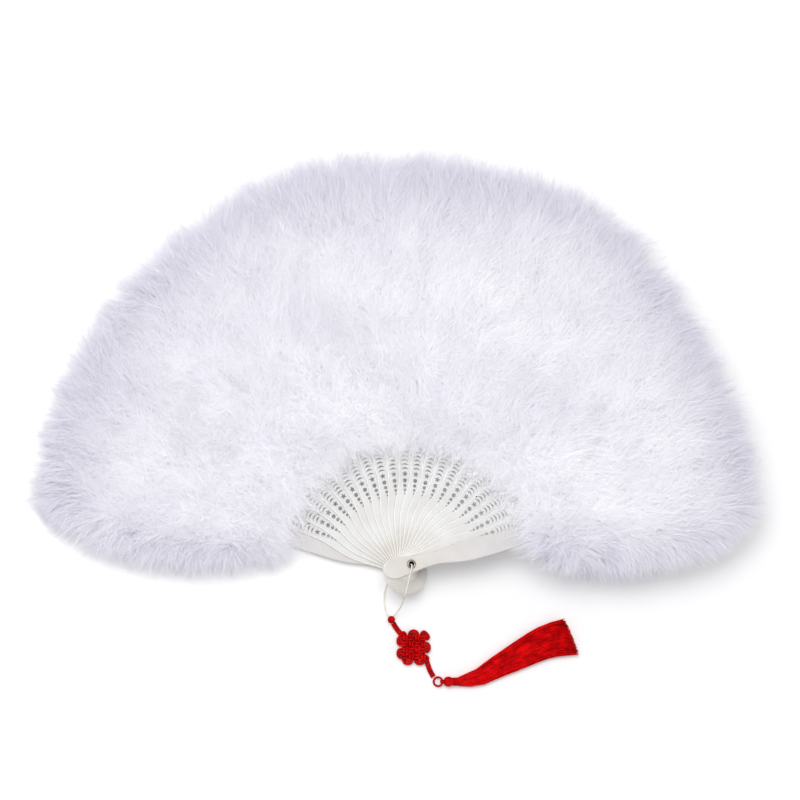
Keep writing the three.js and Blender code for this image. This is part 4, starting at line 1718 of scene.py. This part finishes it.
@dataclass
class WovenKnot(HungPart):
    """Bead, doubled silk cord and the square knot that is woven of it."""

    # Doubled cord
    strand: LaidCord = LaidCord(radius=0.87 * MM, plies=3, lay=4.2 * MM, groove=0.16)
    strand_apart: float = 1.68 * MM
    step: float = 0.35 * MM
    upper_mm: tuple[Place, ...] = (
        (-3.4, -34.5, 2.0), (-2.1, -36.3, 1.25), (-0.3, -38.6, 1.25), (1.6, -40.8, 1.45),
    )
    lower_mm: tuple[Place, ...] = (
        (17.5, -56.6, 2.35), (18.7, -59.8, 1.55), (20.4, -63.6, 0.95), (22.3, -66.8, 0.95),
    )

    # Square knot
    centre_mm: Span = (9.3, -49.0)
    lines: int = 4
    pitch_mm: float = 3.8
    ear_mm: float = 3.3
    ear_corners: Span = (0.12, 0.88)
    turn_mm: float = 0.6
    rise_mm: float = 1.45
    middle_mm: float = 2.5

    # Bead, with the plait that is wound over it
    bead_mm: Place = (-4.8, -32.2, 2.5)
    bead_radius: float = 2.3 * MM
    bead_segments: int = 20
    bead_rings: int = 12
    plait: LaidCord = LaidCord(radius=0.5 * MM, plies=2, lay=2.4 * MM)
    plait_turns: int = 3
    plait_bights: int = 8
    plait_steps: int = 80
    plait_swing: float = 0.95
    plait_dip: float = 0.25

    def weave(self) -> list[Place]:
        """Runs the knot's cord up and down, then side to side, over and under in turn.

        Returns:
            Points of the route, in millimetres.
        """
        last = self.lines - 1
        span = last * self.pitch_mm
        edge = span / 2 + self.ear_mm
        points: list[Place] = []

        def place(line: float) -> float:
            """Returns a line's distance from the knot's centre."""
            return line * self.pitch_mm - span / 2

        def add(across: float, down: float, lift: float) -> None:
            """Adds a point of the route."""
            points.append((self.centre_mm[0] + across, self.centre_mm[1] - down, self.middle_mm + lift))

        def serpentine(upright: bool) -> None:
            """Adds all lines of one direction, with the ears between them.

            Args:
                upright: Whether the lines run up and down.
            """
            face = 1 if upright or self.lines % 2 == 0 else -1
            for line in range(self.lines):
                forward = line % 2 == 0
                stops = range(self.lines) if forward else range(last, -1, -1)
                run = [(place(line), place(stop), face * self.rise_mm * (1 if (line + stop) % 2 == 0 else -1))
                       for stop in stops]
                if line < last:
                    end = edge if forward else -edge
                    run += [(place(line + share), end, 0.0) for share in self.ear_corners]
                for first, second, lift in run:
                    add(*((first, second) if upright else (-second, first)), lift)

        add(place(0) - self.turn_mm, -edge + self.turn_mm, 0.0)
        serpentine(True)
        add(place(last) + self.turn_mm, -edge, 0.0)
        add(edge, place(0) - self.turn_mm, 0.0)
        serpentine(False)
        add(edge - self.turn_mm, place(last) + self.turn_mm, 0.0)
        return points

    def bead(self) -> Piece:
        """Makes the ball knot: a round core with a cord plaited over it.

        Returns:
            The bead as one piece.
        """
        centre = self.around([self.bead_mm])[0]
        thick = self.plait.radius
        deselect_all()
        bpy.ops.mesh.primitive_uv_sphere_add(segments=self.bead_segments, ring_count=self.bead_rings,
                                             radius=self.bead_radius - thick, location=tuple(centre))
        core = bpy.context.object
        bpy.ops.object.transform_apply(location=True, rotation=False, scale=False)
        bpy.ops.object.shade_smooth()
        clear_maps(core)
        turn = np.linspace(0, self.plait_turns * FULL_TURN, self.plait_turns * self.plait_steps + 1)
        slope = self.plait_swing * np.sin(turn * self.plait_bights / self.plait_turns)
        dip = self.plait_dip * np.cos(turn * (2 * self.plait_bights) / self.plait_turns)
        over = self.bead_radius - thick * (1.0 - dip)
        wound = np.stack([over * np.cos(slope) * np.cos(turn), over * np.cos(slope) * np.sin(turn),
                          over * np.sin(slope)], axis=1)
        return joined("tassel_bead_knot", [core, self.plait.along("bead_plait", centre + wound)])

    def build(self, material: Material, far_pieces: Sequence[Piece]) -> Piece:
        """Args:
            material: The silk.
            far_pieces: The tassel's pieces at the cord's far end; not used.

        Returns:
            The bead.
        """
        bead = self.bead()
        dress(bead, BASE_BODY, Slot.SILK, material, "tassel_bead")
        route = smooth_route(self.around([*self.upper_mm, *self.weave(), *self.lower_mm]), self.step)
        across = unit(np.cross(UP, directions(route)))
        cord = joined("red_silk_cord", [
            self.strand.along(f"silk_strand_{side}", route + across * side * self.strand_apart)
            for side in (-0.5, 0.5)
        ])
        dress(cord, BASE_BODY, Slot.SILK, material, "upper_red_cord", "endless_knot", "lower_red_cord")
        return bead


@dataclass
class SilkTassel(HungPart):
    """Small cord ring, bound head and a long skirt of combed threads lying on the table."""

    # Ring
    ring_mm: Place = (24.9, -69.8, 2.05)
    ring_radius: float = 2.7 * MM
    ring_cord: LaidCord = LaidCord(radius=0.7 * MM, plies=3, lay=3.2 * MM)
    ring_tilt: float = math.radians(25.2)
    ring_steps: int = 90

    # Head, whose profile is (share of the length, share of the radius)
    head_mm: Place = (28.34, -69.8, 3.2)
    head_radius: float = 3.0 * MM
    head_length: float = 5.4 * MM
    head_profile: tuple[Span, ...] = (
        (0.0, 0.12), (0.03, 0.45), (0.1, 0.72), (0.22, 0.9), (0.4, 0.99),
        (0.6, 1.0), (0.78, 0.93), (0.9, 0.84), (0.97, 0.76), (1.0, 0.72),
    )
    head_sides: int = 96
    head_folds: int = 24
    head_fold_depth: float = 0.035
    neck_radius: float = 2.2 * MM
    neck_length: float = 4.6 * MM

    # Thread that binds the neck, and the bail that holds the ring
    binding: LaidCord = LaidCord(radius=0.3 * MM, plies=2, lay=2 * MM)
    binding_turns: int = 7
    binding_steps: int = 28
    binding_rise: float = 0.1 * MM
    bail: LaidCord = LaidCord(radius=0.42 * MM, plies=2, lay=2 * MM)
    bail_reach: float = 1.7 * MM
    bail_rise: float = 1.25 * MM
    bail_back: float = 0.35 * MM
    bail_asides: Place = (-0.9 * MM, 0.0, 0.9 * MM)
    bail_slant: float = 0.25
    bail_steps: int = 40

    # Skirt
    skirt_mm: tuple[Place, ...] = (
        (37.6, -69.8, 0.0), (50.5, -67.1, 0.0), (61.0, -61.2, 0.0), (72.0, -55.6, 0.0), (82.0, -50.5, 0.0),
        (91.5, -45.9, 0.0), (101.0, -42.9, 0.0), (113.2, -40.8, 0.0),
    )
    skirt_step: float = 0.5 * MM
    skirt_neck: float = 2.6 * MM
    skirt_half_width: float = 11.9 * MM
    skirt_half_height: float = 3.6 * MM
    skirt_widening: float = 0.7
    table_gap: float = 0.2 * MM

    # Threads of the skirt
    seed: int = 7
    thread_count: int = 620
    thread_radius: float = 0.24 * MM
    thread_steps: int = 11
    thread_inner: float = 0.25
    slant_end: float = 0.035
    ragged_end: float = 0.03
    sway: float = 0.05
    sway_turns: Span = (4, 12)
    sway_start: float = 6.3

    # Core of the skirt
    core_share: float = 0.92
    core_rows: int = 26
    core_sides: int = 24
    core_width: float = 0.8
    core_height: float = 0.72

    def ring(self) -> Piece:
        """Makes the small cord ring on top of the tassel, tipped up to meet the head.

        Returns:
            The ring.
        """
        turn = np.linspace(0, FULL_TURN, self.ring_steps)
        along, across = np.cos(turn) * self.ring_radius, np.sin(turn) * self.ring_radius
        cosine, sine = math.cos(self.ring_tilt), math.sin(self.ring_tilt)
        tipped = np.stack([along * cosine, across, along * sine], axis=1)
        return self.ring_cord.along("tassel_ring_cord", self.around([self.ring_mm])[0] + tipped)

    def knob(self, start: Array) -> Piece:
        """Makes the head's folded threads and the neck under the binding.

        Args:
            start: Where the head begins.

        Returns:
            The head without its binding.
        """
        share, radius = np.array(self.head_profile).T
        along = np.concatenate([share * self.head_length, [self.head_length + self.neck_length]])
        radius = np.concatenate([radius * self.head_radius, [self.neck_radius]])
        turn = turns(self.head_sides)
        folded = radius[:, None] * (1 + self.head_fold_depth * np.cos(turn * self.head_folds))
        rings = [np.repeat(start[0] + along[:, None], self.head_sides, axis=1),
                 start[1] + folded * np.cos(turn), start[2] + folded * np.sin(turn)]
        return rolled_sheet("tassel_knob", np.stack(rings, axis=2))

    def wound(self, start: Array) -> Piece:
        """Winds the binding thread round the neck.

        Args:
            start: Where the head begins.

        Returns:
            The thread.
        """
        wind = np.linspace(0, self.binding_turns * FULL_TURN, self.binding_turns * self.binding_steps)
        thick = self.binding.radius
        radius = self.neck_radius + self.binding_rise
        along = start[0] + self.head_length + thick + wind / wind[-1] * (self.neck_length - 2 * thick)
        coil = np.stack([along, start[1] + radius * np.cos(wind), start[2] + radius * np.sin(wind)], axis=1)
        return self.binding.along("tassel_binding", coil)

    def head(self) -> Piece:
        """Makes the head: threads folded over at the top, bound at the neck, with a bail of three turns.

        Returns:
            The head as one piece.
        """
        start = self.around([self.head_mm])[0]
        parts = [self.knob(start), self.wound(start)]
        sweep = np.linspace(0, FULL_TURN, self.bail_steps)
        for aside in self.bail_asides:
            centre = start + np.array([-self.bail_back, aside, 0.0])
            turn = np.stack([self.bail_reach * np.cos(sweep), self.bail_slant * aside * np.cos(sweep),
                             self.bail_rise * np.sin(sweep)], axis=1)
            parts.append(self.bail.along("tassel_bail", centre + turn))
        return joined("tassel_head_bound", parts)

    def skirt_section(self, share: Array) -> tuple[Array, Array]:
        """Half width and half height of the skirt.

        Args:
            share: Shares of its length.

        Returns:
            The half widths and the half heights there.
        """
        width = self.skirt_neck + (self.skirt_half_width - self.skirt_neck) * share ** self.skirt_widening
        height = self.skirt_neck + (self.skirt_half_height - self.skirt_neck) * share
        return width, height

    def skirt(self) -> Piece:
        """Makes the skirt: a slim core and many single threads that run beside each other.

        Returns:
            The skirt as one piece.
        """
        route = smooth_route(self.around(self.skirt_mm), self.skirt_step)
        left = unit(np.cross(UP, directions(route)))
        threads = self.thread_mesh(self.thread_lines(route, left))
        share = np.linspace(0, 1, len(route))
        rows = np.linspace(0, self.core_share, self.core_rows)
        width, height = self.skirt_section(rows)
        turn = turns(self.core_sides)
        out = self.core_width * width[:, None] * np.cos(turn)
        centre = sampled(route, share, rows)[:, None, :]
        body = centre + sampled(left, share, rows)[:, None, :] * out[..., None]
        body[..., 2] = self.table_gap + height[:, None] * (1 + self.core_height * np.sin(turn))
        return joined("tassel_skirt_threads", [threads, rolled_sheet("skirt_core", body)])

    def thread_lines(self, route: Array, left: Array) -> Array:
        """Centre lines of the skirt's threads.

        Args:
            route: Points along the skirt's middle, on the table.
            left: Directions to the left of the route at these points.

        Returns:
            The lines, shape (threads, points, 3).
        """
        rng = np.random.default_rng(self.seed)
        count = self.thread_count
        turn = rng.uniform(0, FULL_TURN, count)
        out = self.thread_inner + (1 - self.thread_inner) * np.sqrt(rng.uniform(0, 1, count))
        ragged = self.ragged_end * rng.uniform(0, 1, count) ** 2
        reach = 1 - self.slant_end * (1 + out * np.cos(turn)) - ragged
        at = np.linspace(0, 1, self.thread_steps + 1)[None, :] * reach[:, None]
        share = np.linspace(0, 1, len(route))
        width, height = self.skirt_section(at)
        swing = at * rng.uniform(*self.sway_turns, count)[:, None]
        sway = self.sway * np.sin(swing + rng.uniform(0, self.sway_start, count)[:, None])
        across = (out * np.cos(turn))[:, None] + sway
        upward = (out * np.sin(turn))[:, None] + 0.5 * sway
        fit = np.maximum(1.0, np.hypot(across, upward))
        lines = sampled(route, share, at) + sampled(left, share, at) * (width * across / fit)[..., None]
        lift = height * (1 + upward / fit)
        lines[..., 2] = self.table_gap + self.thread_radius + lift * (1 - self.thread_radius / height)
        return lines

    def thread_mesh(self, lines: Array) -> Piece:
        """Makes three-sided threads along lines.

        Args:
            lines: Centre lines, shape (threads, points, 3).

        Returns:
            All threads as one mesh, each closed at both ends.
        """
        count, rows = lines.shape[:2]
        along = unit(np.gradient(lines, axis=1))
        side = unit(np.cross(along, UP))
        other = np.cross(side, along)
        turn = np.array([math.pi / 2, math.pi * 7 / 6, math.pi * 11 / 6])
        ring = np.cos(turn)[:, None] * side[:, :, None, :] + np.sin(turn)[:, None] * other[:, :, None, :]
        points = (lines[:, :, None, :] + ring * self.thread_radius).reshape(-1, 3)
        base = (np.arange(count) * rows * 3)[:, None, None, None]
        row = (np.arange(rows - 1) * 3)[None, :, None, None]
        quad = np.array([[k, (k + 1) % 3, (k + 1) % 3 + 3, k + 3] for k in range(3)])[None, None]
        first = np.arange(count)[:, None] * rows * 3
        caps = np.vstack([first + np.array([2, 1, 0]), first + (rows - 1) * 3 + np.array([0, 1, 2])])
        threads = mesh_of("skirt_strands", points, [(base + row + quad).reshape(-1, 4), caps])
        weld(threads)
        return threads

    def build(self, material: Material, floss: Material) -> list[Piece]:
        """Makes the ring, the head and the skirt.

        Args:
            material: The silk cord.
            floss: The loose threads of the skirt.

        Returns:
            The pieces that hang at the end of the knot's cord.
        """
        ring = self.ring()
        dress(ring, BASE_BODY, Slot.SILK, material, "tassel_loop")
        head = self.head()
        dress(head, BASE_BODY, Slot.SILK, material, "tassel_head")
        dress(self.skirt(), BASE_BODY, Slot.SILK, floss, "tassel_skirt")
        return [ring, head]


# Studio


@dataclass
class Studio:
    """Pale table, soft light from above and the camera at the photograph's angle."""

    camera_distance: float = 2.5
    camera_lean: Span = (-0.2857, -0.1128)
    camera_target: Place = (1.08 * MM, -10.04 * MM, 3 * MM)
    camera_lens: float = 182.86
    camera_sensor: float = 36.0
    camera_far: float = 50.0
    camera_roll: float = math.radians(-0.22)
    table_size: float = 12.0
    table_drop: float = 0.1 * MM
    table_colour: Colour = (0.92, 0.92, 0.925)
    table_roughness: float = 0.8
    shown_light: float = 0.06
    world_light: float = 0.645
    key_power: float = 35.0
    key_size: float = 1.2
    key_place: Place = (-0.8, 0.4, 2.15)
    light_bounces: int = 12

    def camera(self) -> None:
        """Sets the camera above the fan, leaning to the left and towards the tassel."""
        data = bpy.data.cameras.new("photo_camera")
        data.lens = self.camera_lens
        data.sensor_width = self.camera_sensor
        data.clip_end = self.camera_far
        camera = bpy.data.objects.new("photo_camera", data)
        bpy.context.collection.objects.link(camera)
        back = Vector((*self.camera_lean, 1.0)).normalized()
        right = Vector((0, 1, 0)).cross(back).normalized()
        up = back.cross(right)
        turn = Matrix((right, up, back)).transposed().to_4x4() @ Matrix.Rotation(self.camera_roll, 4, "Z")
        place = Vector(self.camera_target) + back * self.camera_distance
        camera.matrix_world = Matrix.Translation(place) @ turn
        bpy.context.scene.camera = camera

    def seen(self, sheet: NodeSheet) -> Socket:
        """Adds nodes that give 1 for a ray from the camera, a mirror or glass, and 0 for other rays.

        Args:
            sheet: The node tree.

        Returns:
            The value socket.
        """
        path = sheet.add("LightPath", {}).outputs
        total = path["Is Camera Ray"]
        for kind in ("Is Glossy Ray", "Is Transmission Ray"):
            total = sheet.add("Math", {0: total, 1: path[kind]}, operation="MAXIMUM").outputs["Value"]
        return total

    def table(self) -> None:
        """Lays the pale table, which shows nearly white and keeps a soft shadow."""
        deselect_all()
        bpy.ops.mesh.primitive_plane_add(size=self.table_size, location=(0, 0, -self.table_drop))
        table = bpy.context.object
        table.name = "pale_table"
        bpy.ops.object.transform_apply(location=True)
        sheet = new_material("pale_table")
        table.data.materials.append(sheet.finished({
            "Base Color": (*self.table_colour, 1),
            "Roughness": self.table_roughness,
        }))
        glow = sheet.add("Emission", {"Strength": 1.0})
        share = sheet.add("Math", {0: self.seen(sheet), 1: self.shown_light}, operation="MULTIPLY")
        mix = sheet.add("MixShader", {0: share.outputs["Value"], 1: sheet.shader.outputs["BSDF"],
                                      2: glow.outputs["Emission"]})
        sheet.feed(sheet.tree.nodes["Material Output"], {"Surface": mix.outputs["Shader"]})

    def lights(self) -> None:
        """Sets a large soft lamp at the upper left and an even world around it."""
        lamp = bpy.data.lights.new("soft_key", "AREA")
        lamp.size = self.key_size
        lamp.energy = self.key_power
        key = bpy.data.objects.new("soft_key", lamp)
        bpy.context.collection.objects.link(key)
        place = Vector(self.key_place)
        key.matrix_world = Matrix.Translation(place) @ place.to_track_quat("Z", "Y").to_matrix().to_4x4()
        sheet = NodeSheet(bpy.data.worlds.new("even_world"), "Background")
        level = sheet.spread(self.seen(sheet), (self.world_light, 1.0))
        bpy.context.scene.world = sheet.finished({"Color": (1, 1, 1, 1), "Strength": level})

    def build(self) -> None:
        """Sets up the camera, the table and the light."""
        self.camera()
        self.table()
        self.lights()
        scene = bpy.context.scene
        scene.cycles.max_bounces = self.light_bounces
        scene.cycles.diffuse_bounces = self.light_bounces
        scene.view_settings.view_transform = "Standard"


def main() -> None:
    """Builds the fan's sub-assemblies in order and reports each piece."""
    logging.basicConfig(level=logging.INFO, format="%(name)s: %(message)s")
    stack = FanStack()
    Studio().build()
    silk = silk_finish().material()
    tassel = SilkTassel(stack.pivot).build(silk, floss_finish().material())
    bead = WovenKnot(stack.pivot).build(silk, tassel)
    HangingLoop(stack.pivot).build(bead, loop_finish().material())
    ivory = [finish(stack.centre).material() for finish in (stave_finish, rib_highlight_finish, guard_finish)]
    PiercedSticks().build(stack, *ivory)
    PivotEyelet().build(stack, NickelFinish().material())
    RibbonLinks().build(stack, RibbonFinish().material())
    DownPlumes().build(stack, DownFinish().material())
    bpy.context.view_layer.update()


if __name__ == "__main__":
    main()
